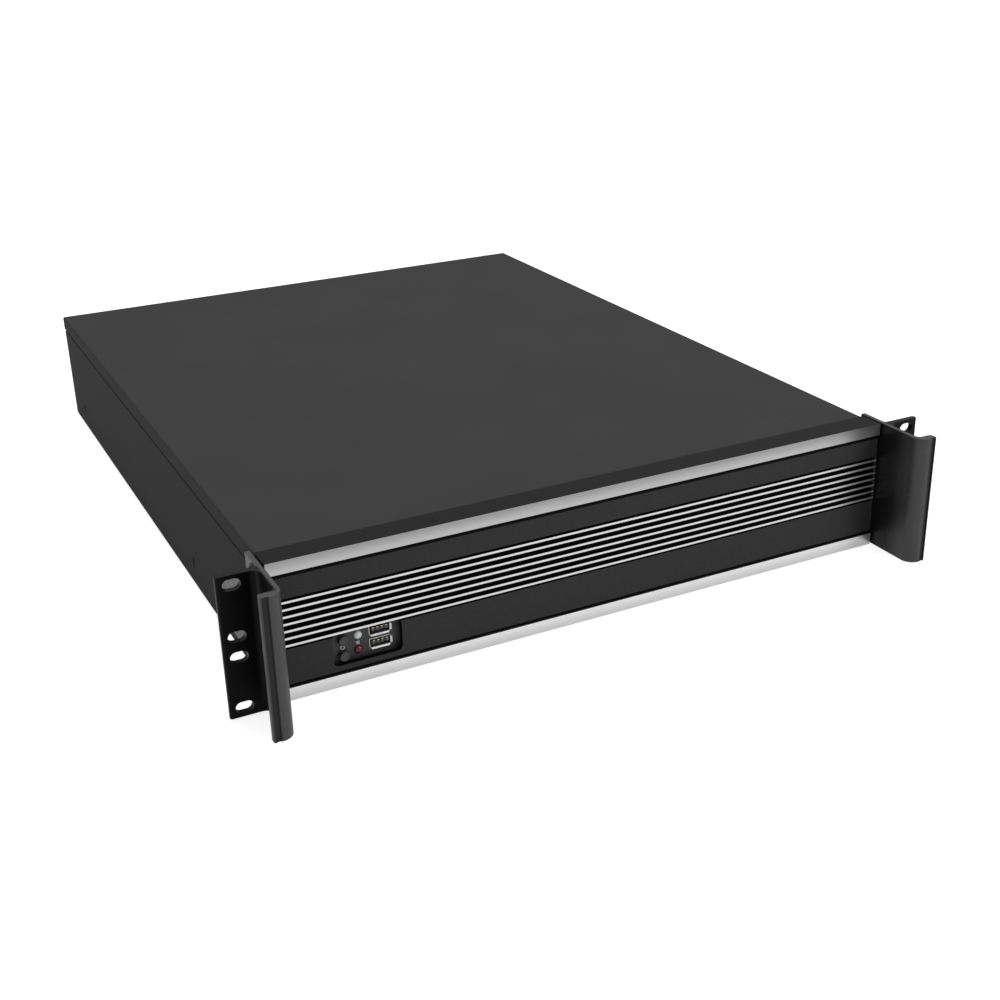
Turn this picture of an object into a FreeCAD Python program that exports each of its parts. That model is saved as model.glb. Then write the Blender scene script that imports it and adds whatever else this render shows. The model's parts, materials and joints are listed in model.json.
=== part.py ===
import FreeCAD, Part
import math
import os
import re
import Sketcher

# Empty 2U rackmount server case: a folded steel body behind an extruded front panel, carried in the rack
# by two extruded ear-and-grip profiles. Millimetres. X runs to the case's right as seen from the front,
# Y from the front to the back and Z up. The origin lies on the underside, midway between the ears, in the
# plane of the ears' rear faces, which is the plane that meets the rack.

# ---------------------------------------------------------------------------------------------- sizes
# Each line is one driving size: its name in the sheet, its value and what it measures.
SIZES = [
    ("panel_height", 88.0, "front panel and ears, two rack units less the usual gap"),
    ("body_width", 426.0, "over the folded body"),
    ("case_depth", 548.5, "ear plane to the rear panel's outer face"),
    ("body_height", 87.0, "underside to the top of the lid"),
    ("sheet", 1.2, "steel sheet"),
    ("gap", 0.3, "between pieces that slide past each other"),
    ("bend", 1.5, "outer radius of a fold"),
    # front panel extrusion
    ("bezel_depth", 16.5, "front bands to the rear edge of the flanges"),
    ("bezel_flange", 2.0, "thickness of the top and bottom flanges"),
    ("band_height", 8.0, "bare band along the top and the bottom"),
    ("band_relief", 1.2, "how far the dark face lies behind the bands"),
    ("bezel_rear", 5.0, "rear face of the upright wall"),
    ("band_front", 1.0, "bands in front of the ear plane"),
    ("shadow_width", 0.9, "shadow line beside each band"),
    ("shadow_depth", 1.4, "shadow line's depth"),
    ("ridge_count", 7, "bare ridges"),
    ("ridge_pitch", 4.53, "from ridge to ridge"),
    ("ridge_width", 1.3, "thickness of a ridge"),
    ("ridge_top", 61.7, "height of the highest ridge"),
    ("ridge_depth", 2.2, "grooves behind the dark face"),
    ("ridge_proud", 0.3, "ridges in front of the dark face"),
    ("port_radius", 2.9, "screw channel, outside"),
    ("port_bore", 1.7, "screw channel, inside"),
    ("port_mouth", 1.6, "slit along the screw channel"),
    ("port_overlap", 0.5, "screw channel sunk into wall and flange"),
    ("pilot_depth", 2.0, "pilot holes in the wall"),
    # control window and what stands in it
    ("window_inset", 57.0, "side of the body to the middle of the window"),
    ("window_width", 43.0, "window"),
    ("window_bottom", 13.0, "window"),
    ("window_top", 33.2, "window"),
    ("window_corner", 3.5, "corner radius"),
    ("plate_thickness", 1.5, "control plate"),
    ("plate_screw_inset", 3.5, "end of the plate to its screws"),
    ("plate_width", 62.0, "control plate"),
    ("plate_bottom", 9.4, "control plate"),
    ("plate_top", 37.0, "control plate"),
    ("control_z", 22.2, "mid-height of the controls"),
    ("button_offset", 14.0, "buttons left of the window's middle"),
    ("button_pitch", 10.3, "from button to button"),
    ("button_radius", 3.0, "button"),
    ("button_front", 1.6, "front face of a button at rest"),
    ("button_travel", 1.5, "how far a button goes in"),
    ("button_bevel", 0.4, "front edge of a button"),
    ("button_play", 0.08, "radial play of a button in the plate"),
    ("collar_radius", 4.1, "collar that keeps a button in"),
    ("collar_thickness", 1.0, "collar"),
    ("stem_radius", 1.5, "button's stem"),
    ("switch_size", 6.0, "side of a switch"),
    ("switch_depth", 3.5, "switch, front to back"),
    ("stem_depth", 1.0, "stem inside the switch at rest"),
    ("lamp_offset", 4.5, "lamps left of the window's middle"),
    ("lamp_pitch", 9.4, "from lamp to lamp"),
    ("lamp_lift", 0.8, "lamps' middle above the controls' middle"),
    ("lamp_radius", 2.5, "lamp"),
    ("lamp_front", 3.0, "tip of a lamp"),
    ("lamp_taper", 1.6, "lamp's tip"),
    ("lamp_rim", 1.0, "rim behind the plate"),
    ("lamp_rim_width", 0.4, "rim behind the plate"),
    ("lead_half_span", 1.27, "lamp's axis to a lead"),
    ("lead_size", 0.5, "lamp leads"),
    ("socket_offset", 9.1, "data sockets right of the window's middle"),
    ("socket_lift", 1.9, "sockets' middle above the controls' middle"),
    ("socket_pitch", 8.5, "from socket to socket"),
    ("socket_width", 13.1, "socket shell"),
    ("socket_height", 5.8, "socket shell"),
    ("socket_wall", 0.4, "socket shell"),
    ("socket_front", 3.8, "mouth of a socket"),
    ("socket_floor", 1.0, "rear wall of a socket"),
    ("tongue_width", 11.0, "socket tongue"),
    ("tongue_thickness", 1.9, "socket tongue"),
    ("tongue_lift", 0.9, "tongue above the socket's middle"),
    ("board_front", 19.5, "control board's front face"),
    ("board_thickness", 1.6, "circuit board"),
    ("board_width", 48.0, "control board"),
    ("board_low", 1.0, "control board above the plate's lower edge"),
    ("board_high", 2.0, "control board below the plate's upper edge"),
    ("post_radius", 2.5, "control plate's posts"),
    ("post_span", 43.0, "from post to post across"),
    ("post_rise", 20.0, "from post to post upward"),
    # ear and grip extrusion
    ("ear_thickness", 4.0, "ear plate"),
    ("ear_reach", 24.1, "web's outer face to the ear's edge, for 482.6 over both ears"),
    ("web_thickness", 3.0, "wall that carries the grip"),
    ("leg_depth", 20.0, "leg behind the ear plane"),
    ("grip_reach", 34.5, "grip in front of the ear's front face"),
    ("grip_width", 13.2, "web's inner face to the grip's tip"),
    ("grip_thickness", 6.2, "grip's returning lip"),
    ("nose_radius", 8.0, "outside of the bend"),
    ("palm_radius", 3.0, "inside of the bend"),
    ("root_radius", 6.0, "between ear and web"),
    ("tip_radius", 2.2, "grip's tip"),
    ("ear_corner", 1.5, "outer corners of the ear"),
    ("heel_radius", 2.0, "between ear and leg"),
    ("flute_width", 2.4, "shallow flute in the grip"),
    ("flute_depth", 0.6, "shallow flute in the grip"),
    ("flute_inset", 2.9, "grip's tip to the flute's middle"),
    ("tip_front_radius", 1.5, "grip's tip, front corner"),
    ("slot_inset", 8.75, "ear's edge to the middle of its slots"),
    ("slot_outer", 76.2, "outer rows of slots"),
    ("slot_inner", 12.7, "inner rows of slots"),
    ("slot_length", 10.5, "rack slot"),
    ("slot_width", 7.0, "rack slot"),
    # ear bracket
    ("bracket_end", 100.0, "rear end of the bracket"),
    ("bracket_slope", 27.0, "where the bracket's top starts to fall"),
    ("bracket_heel", 33.0, "bracket's height at its rear end"),
    ("bracket_bottom", 9.5, "bracket behind the leg"),
    ("bracket_top", 70.0, "bracket behind the leg"),
    ("bracket_front", 2.0, "front edge of the bracket"),
    ("bracket_corner", 4.0, "rear corners of the bracket"),
    ("ear_screw_y", 13.0, "screws through leg and bracket"),
    ("ear_screw_low", 20.0, "screws through leg and bracket"),
    ("ear_screw_high", 60.0, "screws through leg and bracket"),
    # tray and lid
    ("skirt_height", 10.0, "lid's side skirts"),
    ("skirt_gap", 0.5, "step below the skirt's edge"),
    ("joggle", 1.5, "step that takes the skirt"),
    ("tray_flange", 12.0, "inward flange along the top of the sides"),
    ("rear_skirt", 9.0, "lid's rear skirt"),
    ("lip_width", 300.0, "lid's front lip"),
    ("lip_reach", 4.0, "lid's front lip under the front panel"),
    ("front_flange_top", 70.0, "tray's front flange"),
    ("cutout_side", 2.0, "opening behind the control plate, to each side"),
    ("cutout_below", 4.0, "opening behind the control plate"),
    ("cutout_above", 3.0, "opening behind the control plate"),
    ("rail_hole_length", 8.0, "upright slide-rail holes"),
    ("rail_hole_width", 3.6, "upright slide-rail holes"),
    ("rail_hole_z", 17.0, "upright slide-rail holes"),
    ("rail_hole_front", 68.0, "first rail hole"),
    ("rail_hole_middle", 166.0, "second rail hole"),
    ("rail_hole_rear", 43.5, "third rail hole in front of the rear face"),
    # cross walls
    ("wall_flange", 14.0, "flanges of the cross walls"),
    ("vent_width", 4.0, "air slots"),
    # drive cages
    ("cage_inset", 113.0, "side of the body to a cage's middle"),
    ("cage_front", 40.0, "cages"),
    ("cage_length", 140.0, "cages"),
    ("cage_inside", 102.2, "width for a 3.5 inch drive"),
    ("cage_drop", 4.8, "top of the lid to the cages"),
    ("cage_foot", 11.0, "out-turned feet"),
    ("drive_pitch", 26.1, "from drive to drive upward"),
    ("drive_hole_z", 9.0, "lowest drive screw over the floor"),
    ("drive_hole_front", 28.5, "first drive screw from the cage's front"),
    ("drive_hole_span", 60.0, "from drive screw to drive screw"),
    ("drive_hole_radius", 1.9, "drive screw holes"),
    ("drive_rows", 3, "drives in a cage"),
    # fans
    ("fan_wall_y", 200.0, "front face of the fan wall"),
    ("fan_inset", 95.0, "side of the body to an outer fan's middle"),
    ("fan_foot", 1.8, "fans above the floor"),
    ("fan_drop", 4.0, "top of the lid to the fans"),
    ("fan_depth", 25.0, "fan frame"),
    ("fan_rim", 1.5, "thinnest wall of a fan frame"),
    ("fan_hole_inset", 4.25, "side of a fan to its screws"),
    ("hub_radius", 17.0, "rotor hub"),
    ("hub_depth", 18.5, "rotor hub"),
    ("hub_inset", 2.0, "rotor behind the frame's front face"),
    ("hub_cover", 1.0, "motor plate beyond the hub"),
    ("blade_sink", 1.5, "blade inside the hub"),
    ("blade_count", 7, "blades"),
    ("blade_root", 6.5, "blade's half width across the airflow at the hub"),
    ("blade_run", 11.5, "blade's half width across the airflow at its tip"),
    ("blade_slope", 0.7, "blade's run along the airflow for each unit across it"),
    ("blade_tip", 34.5, "blade's end section from the axis"),
    ("blade_thickness", 1.6, "blade"),
    ("motor_plate", 3.0, "plate and struts that carry the rotor"),
    ("strut_width", 5.0, "struts"),
    ("strut_sink", 0.5, "struts inside the frame"),
    ("shaft_radius", 1.5, "rotor shaft"),
    ("shaft_play", 0.05, "radial play of the shaft"),
    # rear panel
    ("recess_depth", 11.5, "card bay behind the rear face"),
    ("recess_margin", 11.5, "first card slot's middle to the inner end of the card bay"),
    ("ledge_drop", 6.0, "top of the lid to the card ledge"),
    ("card_inset", 17.08, "side of the body to the last card slot's middle"),
    ("card_pitch", 20.32, "from card slot to card slot"),
    ("card_count", 7, "card slots"),
    ("card_width", 13.2, "card slot"),
    ("card_bottom", 8.0, "card slot"),
    ("card_top", 76.0, "card slot"),
    ("blank_width", 18.4, "slot cover"),
    ("blank_thickness", 0.9, "slot cover"),
    ("blank_overlap", 3.0, "slot cover below the slot"),
    ("card_screw", 5.6, "slot cover screws in front of the rear face"),
    ("port_margin", 3.5, "card bay to the board connector opening"),
    ("port_width", 158.75, "board connector opening"),
    ("port_bottom", 7.0, "board connector opening"),
    ("port_height", 44.45, "board connector opening"),
    ("supply_margin", 13.75, "board connector opening to the power supply opening"),
    ("supply_inset", 15.5, "side of the body to the power supply opening"),
    ("supply_height", 62.0, "power supply opening"),
    ("supply_z", 37.6, "power supply's mid-height"),
    ("supply_hole_out", 4.0, "supply screws beyond the opening's sides"),
    ("supply_hole_z", 58.0, "supply screws upward"),
    ("supply_corner", 6.0, "power supply opening"),
    ("supply_length", 190.0, "power supply, front to back"),
    ("supply_stop", 24.0, "height of the supply bracket"),
    ("supply_bracket_out", 6.0, "supply bracket beyond the opening's sides"),
    ("grille_bottom", 57.0, "rear air slots"),
    ("grille_length", 15.0, "rear air slots"),
    ("grille_margin", 9.0, "opening's end to the first air slot"),
    ("grille_pitch", 9.0, "rear air slots"),
    ("grille_count", 16, "rear air slots"),
    # fasteners
    ("screw_radius", 1.5, "machine screws"),
    ("screw_head", 2.8, "machine screw heads"),
    ("screw_head_height", 1.8, "machine screw heads"),
    ("slot_screw_head", 1.5, "slot cover screw heads"),
    ("board_screw_radius", 1.0, "control board screws"),
    ("board_screw_length", 6.0, "control board screws"),
    ("board_screw_rim", 1.0, "control board screw heads beyond the shank"),
    ("fan_screw_length", 10.0, "fan screws"),
    ("screw_play", 0.2, "radial play round a screw"),
    ("rivet_play", 0.05, "radial play round a rivet"),
    ("thumb_radius", 4.5, "thumbscrew heads"),
    ("thumb_depth", 5.0, "thumbscrew heads"),
    ("thumb_length", 7.0, "thumbscrew shanks"),
    ("thumb_drop", 5.4, "top of the lid to the thumbscrews"),
    ("thumb_inset", 19.0, "side of the body to the right thumbscrew"),
    ("thumb_margin", 12.5, "card bay to the left thumbscrew"),
    ("leg_screw_length", 16.0, "screws through the leg"),
    ("standoff_radius", 3.0, "board standoffs"),
    ("standoff_height", 6.5, "board standoffs"),
    ("standoff_bore", 1.3, "board standoffs"),
    ("standoff_margin", 16.55, "right standoffs to the end of the connector opening"),
    ("standoff_wide", 157.48, "from there to the middle column"),
    ("standoff_narrow", 124.46, "middle column to the left column"),
    ("standoff_rear", 21.4, "rear row of standoffs to the rear face"),
    ("standoff_long", 154.94, "from there to the middle row"),
    ("standoff_short", 72.39, "middle row to the front row"),
]

os.makedirs("parts", exist_ok=True)
doc = FreeCAD.newDocument("RackCase")
sheet = doc.addObject("Spreadsheet::Sheet", "Sizes")
for row, (alias, number, meaning) in enumerate(SIZES, start=1):
    sheet.set("A%d" % row, alias)
    sheet.set("B%d" % row, str(number))
    sheet.setAlias("B%d" % row, alias)
    sheet.set("C%d" % row, meaning)
doc.recompute()

ALIASES = {alias for alias, number, meaning in SIZES}
SUBPARTS = []


# -------------------------------------------------------------------------------------------- helpers
def in_sheet(text):
    """The expression with each size's name made a reference to the sheet."""
    return re.sub(r"[A-Za-z_]\w*", lambda m: "Sizes." + m[0] if m[0] in ALIASES else m[0], str(text))


def value(text):
    """What an expression on the sizes comes to now."""
    return float(sheet.evalExpression(in_sheet(text)))


def bind(thing, **sizes):
    """Ties properties of an object to expressions; a double underscore stands for a dot."""
    for name, text in sizes.items():
        thing.setExpression(name.replace("__", "."), in_sheet(text))
    return thing


def keep(thing, label):
    """Makes the object a sub-part: its label is the node's name."""
    thing.Label = label
    SUBPARTS.append(thing)
    return thing


def new_body(label):
    return keep(doc.addObject("PartDesign::Body", label), label)


def sketch_on(body, plane, offset):
    """A sketch in an origin plane of its body (XY, XZ or YZ), moved along X, Y or Z to the offset."""
    sketch = body.newObject("Sketcher::SketchObject", body.Name + "_sketch")
    role = plane + "_Plane"
    sketch.AttachmentSupport = ([f for f in body.Origin.OriginFeatures if f.Role == role][0], [""])
    sketch.MapMode = "FlatFace"
    sign = "-" if plane == "XZ" else ""
    bind(sketch, AttachmentOffset__Base__z="%s(%s)" % (sign, offset))
    return sketch


def tie(sketch, rules):
    """Adds constraints in one go; each is paired with the expression that its size follows, or with None."""
    first = sketch.ConstraintCount
    sketch.addConstraint([rule for rule, text in rules])
    for number, (rule, text) in enumerate(rules, start=first):
        if text is not None:
            sketch.setExpression("Constraints[%d]" % number, in_sheet(text))


def at_x(curve, end, x):
    return [(Sketcher.Constraint("DistanceX", -1, 1, curve, end, value(x)), x)]


def at_y(curve, end, y):
    return [(Sketcher.Constraint("DistanceY", -1, 1, curve, end, value(y)), y)]


def point(x, y):
    return FreeCAD.Vector(value(x), value(y), 0)


def chain(first, count):
    """Joins curves end to start into a closed ring."""
    rules = []
    for i in range(count):
        rules.append((Sketcher.Constraint("Coincident", first + i, 2, first + (i + 1) % count, 1), None))
    return rules


def outline(sketch, corners):
    """A closed straight-sided outline through corners given as pairs of expressions."""
    first = sketch.GeometryCount
    count = len(corners)
    points = [point(x, y) for x, y in corners]
    sketch.addGeometry([Part.LineSegment(points[i], points[(i + 1) % count]) for i in range(count)])
    rules = chain(first, count)
    for i, (x, y) in enumerate(corners):
        rules += at_x(first + i, 1, x) + at_y(first + i, 1, y)
    tie(sketch, rules)
    return sketch


def rectangle(sketch, left, right, bottom, top):
    return outline(sketch, [(left, bottom), (right, bottom), (right, top), (left, top)])


def arc(x, y, radius, start):
    """A quarter turn round a centre, from a number of quarter turns onward."""
    ring = Part.Circle(point(x, y), FreeCAD.Vector(0, 0, 1), value(radius))
    return Part.ArcOfCircle(ring, start * math.pi / 2, (start + 1) * math.pi / 2)


def rounded(sketch, left, right, bottom, top, radius):
    """A rectangle with round corners."""
    near, far = "%s + %s" % (left, radius), "%s - %s" % (right, radius)
    low, high = "%s + %s" % (bottom, radius), "%s - %s" % (top, radius)
    first = sketch.GeometryCount
    ends = [(near, bottom), (far, bottom), (right, low), (right, high),
            (far, top), (near, top), (left, high), (left, low)]
    centres = [(far, low), (far, high), (near, high), (near, low)]
    for side in range(4):
        start, stop = ends[2 * side], ends[2 * side + 1]
        sketch.addGeometry(Part.LineSegment(point(*start), point(*stop)))
        sketch.addGeometry(arc(*centres[side], radius, side - 1))
    rules = chain(first, 8)
    for side in range(4):
        for end, (x, y) in enumerate(ends[2 * side:2 * side + 2], start=1):
            rules += at_x(first + 2 * side, end, x) + at_y(first + 2 * side, end, y)
        rules.append((Sketcher.Constraint("Radius", first + 2 * side + 1, value(radius)), radius))
    tie(sketch, rules)
    return sketch


def slot(sketch, x, y, length, width, upright=False):
    """A slot with round ends, lying along the sketch's first axis or standing along its second."""
    half = "(%s - %s)/2" % (length, width)
    radius = "%s/2" % width
    first = sketch.GeometryCount
    spots = [("-" + half, "-" + radius), (half, "-" + radius), (half, radius), ("-" + half, radius)]
    turn = [("%s + %s" % (x, v), "%s - %s" % (y, u)) if upright else ("%s + %s" % (x, u), "%s + %s" % (y, v))
            for u, v in spots]
    turn = [(a.replace("- -", "+ ").replace("+ -", "- "), b.replace("- -", "+ ").replace("+ -", "- "))
            for a, b in turn]
    middles = [(x, "%s - %s" % (y, half)), (x, "%s + %s" % (y, half))] if upright else \
              [("%s + %s" % (x, half), y), ("%s - %s" % (x, half), y)]
    quarter = 2 if upright else 1
    for side in range(2):
        start, stop = turn[2 * side], turn[2 * side + 1]
        sketch.addGeometry(Part.LineSegment(point(*start), point(*stop)))
        ring = Part.Circle(point(*middles[side]), FreeCAD.Vector(0, 0, 1), value(radius))
        begin = (2 * side - quarter) * math.pi / 2
        sketch.addGeometry(Part.ArcOfCircle(ring, begin, begin + math.pi))
    rules = chain(first, 4)
    for end in (1, 2):
        rules += at_x(first, end, turn[end - 1][0]) + at_y(first, end, turn[end - 1][1])
        loose = at_y if upright else at_x
        rules += loose(first + 2, end, turn[end + 1][1 if upright else 0])
    for side in range(2):
        rules += at_x(first + 2 * side + 1, 3, middles[side][0])
        rules += at_y(first + 2 * side + 1, 3, middles[side][1])
    tie(sketch, rules)
    return sketch


def circle(sketch, x, y, radius):
    curve = sketch.addGeometry(Part.Circle(point(x, y), FreeCAD.Vector(0, 0, 1), value(radius)))
    size = (Sketcher.Constraint("Radius", curve, value(radius)), radius)
    tie(sketch, at_x(curve, 3, x) + at_y(curve, 3, y) + [size])
    return sketch


def grow(body, sketch, length):
    """Pads the sketch along +X, +Y or +Z."""
    pad = body.newObject("PartDesign::Pad", body.Name + "_pad")
    pad.Profile = sketch
    pad.Reversed = "XZ" in sketch.AttachmentSupport[0][0].Role
    bind(pad, Length=length)
    return pad


def cut(body, sketch, length):
    """Pockets the sketch along +X, +Y or +Z, and makes sure that it took something away."""
    doc.recompute()
    before = body.Shape.Volume
    pocket = body.newObject("PartDesign::Pocket", body.Name + "_pocket")
    pocket.Profile = sketch
    pocket.Reversed = "XZ" not in sketch.AttachmentSupport[0][0].Role
    bind(pocket, Length=length)
    doc.recompute()
    assert body.Shape.Volume < before, "nothing was cut from " + body.Label
    return pocket


def repeat(body, feature, axis, span, count, reverse=False):
    """Copies a feature in a row along an origin axis of the body: count copies over the span."""
    row = body.newObject("PartDesign::LinearPattern", body.Name + "_row")
    row.Originals = [feature]
    row.Direction = ([f for f in body.Origin.OriginFeatures if f.Role == axis + "_Axis"][0], [""])
    row.Reversed = reverse
    bind(row, Length=span, Occurrences=count)
    body.Tip = row
    doc.recompute()
    return row


def edges_at(shape, axis, places):
    """Names of the straight edges along an axis that pass through the given places in the plane across it."""
    across = [i for i in range(3) if i != "XYZ".index(axis)]
    found = []
    for number, edge in enumerate(shape.Edges, start=1):
        if edge.Curve.TypeId != "Part::GeomLine":
            continue
        run = edge.tangentAt(edge.FirstParameter)
        if abs(abs(run["XYZ".index(axis)]) - 1) > 1e-6:
            continue
        for place in places:
            if all(abs(edge.CenterOfMass[i] - spot) < 1e-4 for i, spot in zip(across, place)):
                found.append("Edge%d" % number)
    return found


def soften(body, kind, axis, places, size):
    """Fillets or chamfers the edges along an axis at places given as pairs of expressions."""
    doc.recompute()
    base = body.Tip
    spots = [(value(a), value(b)) for a, b in places]
    names = edges_at(base.Shape, axis, spots)
    assert len(names) >= len(spots), "edges missing on " + body.Label
    feature = body.newObject("PartDesign::" + kind, body.Name + "_" + kind.lower())
    feature.Base = (base, names)
    bind(feature, **{"Radius" if kind == "Fillet" else "Size": size})
    doc.recompute()
    return feature


def block(label, x, y, z, length, width, height):
    """A plain box from its lowest corner."""
    box = doc.addObject("Part::Box", label)
    bind(box, Length=length, Width=width, Height=height)
    bind(box, Placement__Base__x=x, Placement__Base__y=y, Placement__Base__z=z)
    return box


TURNS = {
    "+X": FreeCAD.Rotation(FreeCAD.Vector(0, 1, 0), 90),
    "-X": FreeCAD.Rotation(FreeCAD.Vector(0, 1, 0), -90),
    "+Y": FreeCAD.Rotation(FreeCAD.Vector(1, 0, 0), -90),
    "-Y": FreeCAD.Rotation(FreeCAD.Vector(1, 0, 0), 90),
    "+Z": FreeCAD.Rotation(),
    "-Z": FreeCAD.Rotation(FreeCAD.Vector(1, 0, 0), 180),
}


def put(thing, x, y, z, way):
    """Stands an object's own Z axis along a direction at a place."""
    thing.Placement = FreeCAD.Placement(FreeCAD.Vector(), TURNS[way])
    return bind(thing, Placement__Base__x=x, Placement__Base__y=y, Placement__Base__z=z)


def rod(label, x, y, z, way, radius, length):
    cylinder = bind(doc.addObject("Part::Cylinder", label), Radius=radius, Height=length)
    return put(cylinder, x, y, z, way)


def taper(label, x, y, z, way, start, end, length):
    cone = bind(doc.addObject("Part::Cone", label), Radius1=start, Radius2=end, Height=length)
    return put(cone, x, y, z, way)


def fuse(label, pieces):
    joined = doc.addObject("Part::MultiFuse", label)
    joined.Shapes = pieces
    joined.Refine = True
    return joined


def minus(label, base, tool):
    less = doc.addObject("Part::Cut", label)
    less.Base = base
    less.Tool = tool
    less.Refine = True
    return less


def group(label, pieces):
    """Identical fasteners as one node of separate solids."""
    together = doc.addObject("Part::Compound", label)
    together.Links = pieces
    return keep(together, label)


def screw(label, place, way, length, head=("screw_head", "screw_head_height"), radius="screw_radius"):
    """A screw or rivet at a place on the clamped face; way is the way that its head looks."""
    back = way.translate(str.maketrans("+-", "-+"))
    shank = rod(label + "_shank", *place, back, radius, length)
    cap = rod(label + "_head", *place, way, *head)
    return fuse(label, [cap, shank])


# ------------------------------------------------------------------------------- places shared by pieces
WINDOW_X = "(window_inset - body_width/2)"
BUTTON_X = "(window_inset - body_width/2 - button_offset)"
LAMP_X = "(window_inset - body_width/2 - lamp_offset)"
SOCKET_X = "(window_inset - body_width/2 + socket_offset)"
CARD_FIRST = "(card_inset - body_width/2 + card_pitch*(card_count - 1))"
RECESS_EDGE = "(card_inset - body_width/2 + card_pitch*(card_count - 1) + recess_margin)"
PORT_LEFT = RECESS_EDGE[:-1] + " + port_margin)"
PORT_RIGHT = PORT_LEFT[:-1] + " + port_width)"
SUPPLY_LEFT = PORT_RIGHT[:-1] + " + supply_margin)"
SUPPLY_RIGHT = "(body_width/2 - supply_inset)"
FAN_SIZE = "(body_height - fan_drop - sheet - fan_foot)"
FAN_Z = "(sheet + fan_foot + (body_height - fan_drop - sheet - fan_foot)/2)"
FAN_BORE = "((body_height - fan_drop - sheet - fan_foot)/2 - fan_rim)"
FAN_HOLES = "(body_height - fan_drop - sheet - fan_foot - 2*fan_hole_inset)"
RAIL_HOLES = ("rail_hole_front", "rail_hole_middle", "case_depth - rail_hole_rear")


# --------------------------------------------------------------------------------------- front panel
BAND = "-band_front"
FACE = "band_relief - band_front"
SHADOW = "band_relief + shadow_depth - band_front"
VALLEY = "band_relief + ridge_depth - band_front"
CREST = "band_relief - ridge_proud - band_front"
PORT_Y = "bezel_rear + port_radius - port_overlap"
PORT_LOW = "bezel_flange + port_radius - port_overlap"
PORT_HIGH = "panel_height - bezel_flange - port_radius + port_overlap"
PLATE_SCREWS = (WINDOW_X + " - plate_width/2 + plate_screw_inset",
                WINDOW_X + " + plate_width/2 - plate_screw_inset")


def front_section():
    """The corners of the extrusion's section from the low front corner upward."""
    corners = [(BAND, "0"), (BAND, "band_height"), (SHADOW, "band_height")]
    corners += [(SHADOW, "band_height + shadow_width"), (FACE, "band_height + shadow_width")]
    ridges = int(value("ridge_count"))
    floor_edge = "ridge_top - %d*ridge_pitch - ridge_pitch/2" % (ridges - 1)
    corners += [(FACE, floor_edge), (VALLEY, floor_edge)]
    for number in reversed(range(ridges)):
        low = "ridge_top - %d*ridge_pitch - ridge_width/2" % number
        high = "ridge_top - %d*ridge_pitch + ridge_width/2" % number
        corners += [(VALLEY, low), (CREST, low), (CREST, high), (VALLEY, high)]
    corners += [(VALLEY, "ridge_top + ridge_pitch/2"), (FACE, "ridge_top + ridge_pitch/2")]
    high_shadow = "panel_height - band_height - shadow_width"
    corners += [(FACE, high_shadow), (SHADOW, high_shadow), (SHADOW, "panel_height - band_height")]
    corners += [(BAND, "panel_height - band_height"), (BAND, "panel_height"), ("bezel_depth", "panel_height")]
    under = "panel_height - bezel_flange"
    corners += [("bezel_depth", under), ("bezel_rear", under)]
    corners += [("bezel_rear", "bezel_flange"), ("bezel_depth", "bezel_flange"), ("bezel_depth", "0")]
    return corners


def front_panel():
    """One extrusion: dark wall, two bare bands, seven bare ridges, two flanges and two screw channels."""
    body = new_body("front_panel")
    start, length = "gap - body_width/2", "body_width - 2*gap"
    grow(body, outline(sketch_on(body, "YZ", start), front_section()), length)
    for height in (PORT_LOW, PORT_HIGH):
        grow(body, circle(sketch_on(body, "YZ", start), PORT_Y, height, "port_radius"), length)
    for height in (PORT_LOW, PORT_HIGH):
        cut(body, circle(sketch_on(body, "YZ", start), PORT_Y, height, "port_bore"), length)
        low, high = height + " - port_mouth/2", height + " + port_mouth/2"
        mouth = rectangle(sketch_on(body, "YZ", start), PORT_Y, PORT_Y + " + 2*port_radius", low, high)
        cut(body, mouth, length)
    window = rounded(sketch_on(body, "XZ", "-band_front"), WINDOW_X + " - window_width/2",
                     WINDOW_X + " + window_width/2", "window_bottom", "window_top", "window_corner")
    cut(body, window, "bezel_rear + band_front + gap")
    pilots = sketch_on(body, "XZ", "bezel_rear - pilot_depth")
    for x in PLATE_SCREWS:
        circle(pilots, x, "control_z", "screw_radius")
    cut(body, pilots, "bezel_rear")


# ------------------------------------------------------------------------------ ears with their grips
WEB_INNER = "body_width/2 + sheet"
WEB_OUTER = "body_width/2 + sheet + web_thickness"
EAR_EDGE = "body_width/2 + sheet + web_thickness + ear_reach"
GRIP_TIP = "body_width/2 + sheet + grip_width"
GRIP_FRONT = "-ear_thickness - grip_reach"
GRIP_BACK = "grip_thickness - ear_thickness - grip_reach"


def sided(side, x):
    """An X expression for the right side, or its mirror image for the left."""
    return x if side > 0 else "-(%s)" % x


def span_start(side, near, far):
    """Where a span across X between two distances from the middle begins, on either side."""
    return near if side > 0 else "-(%s)" % far


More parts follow.
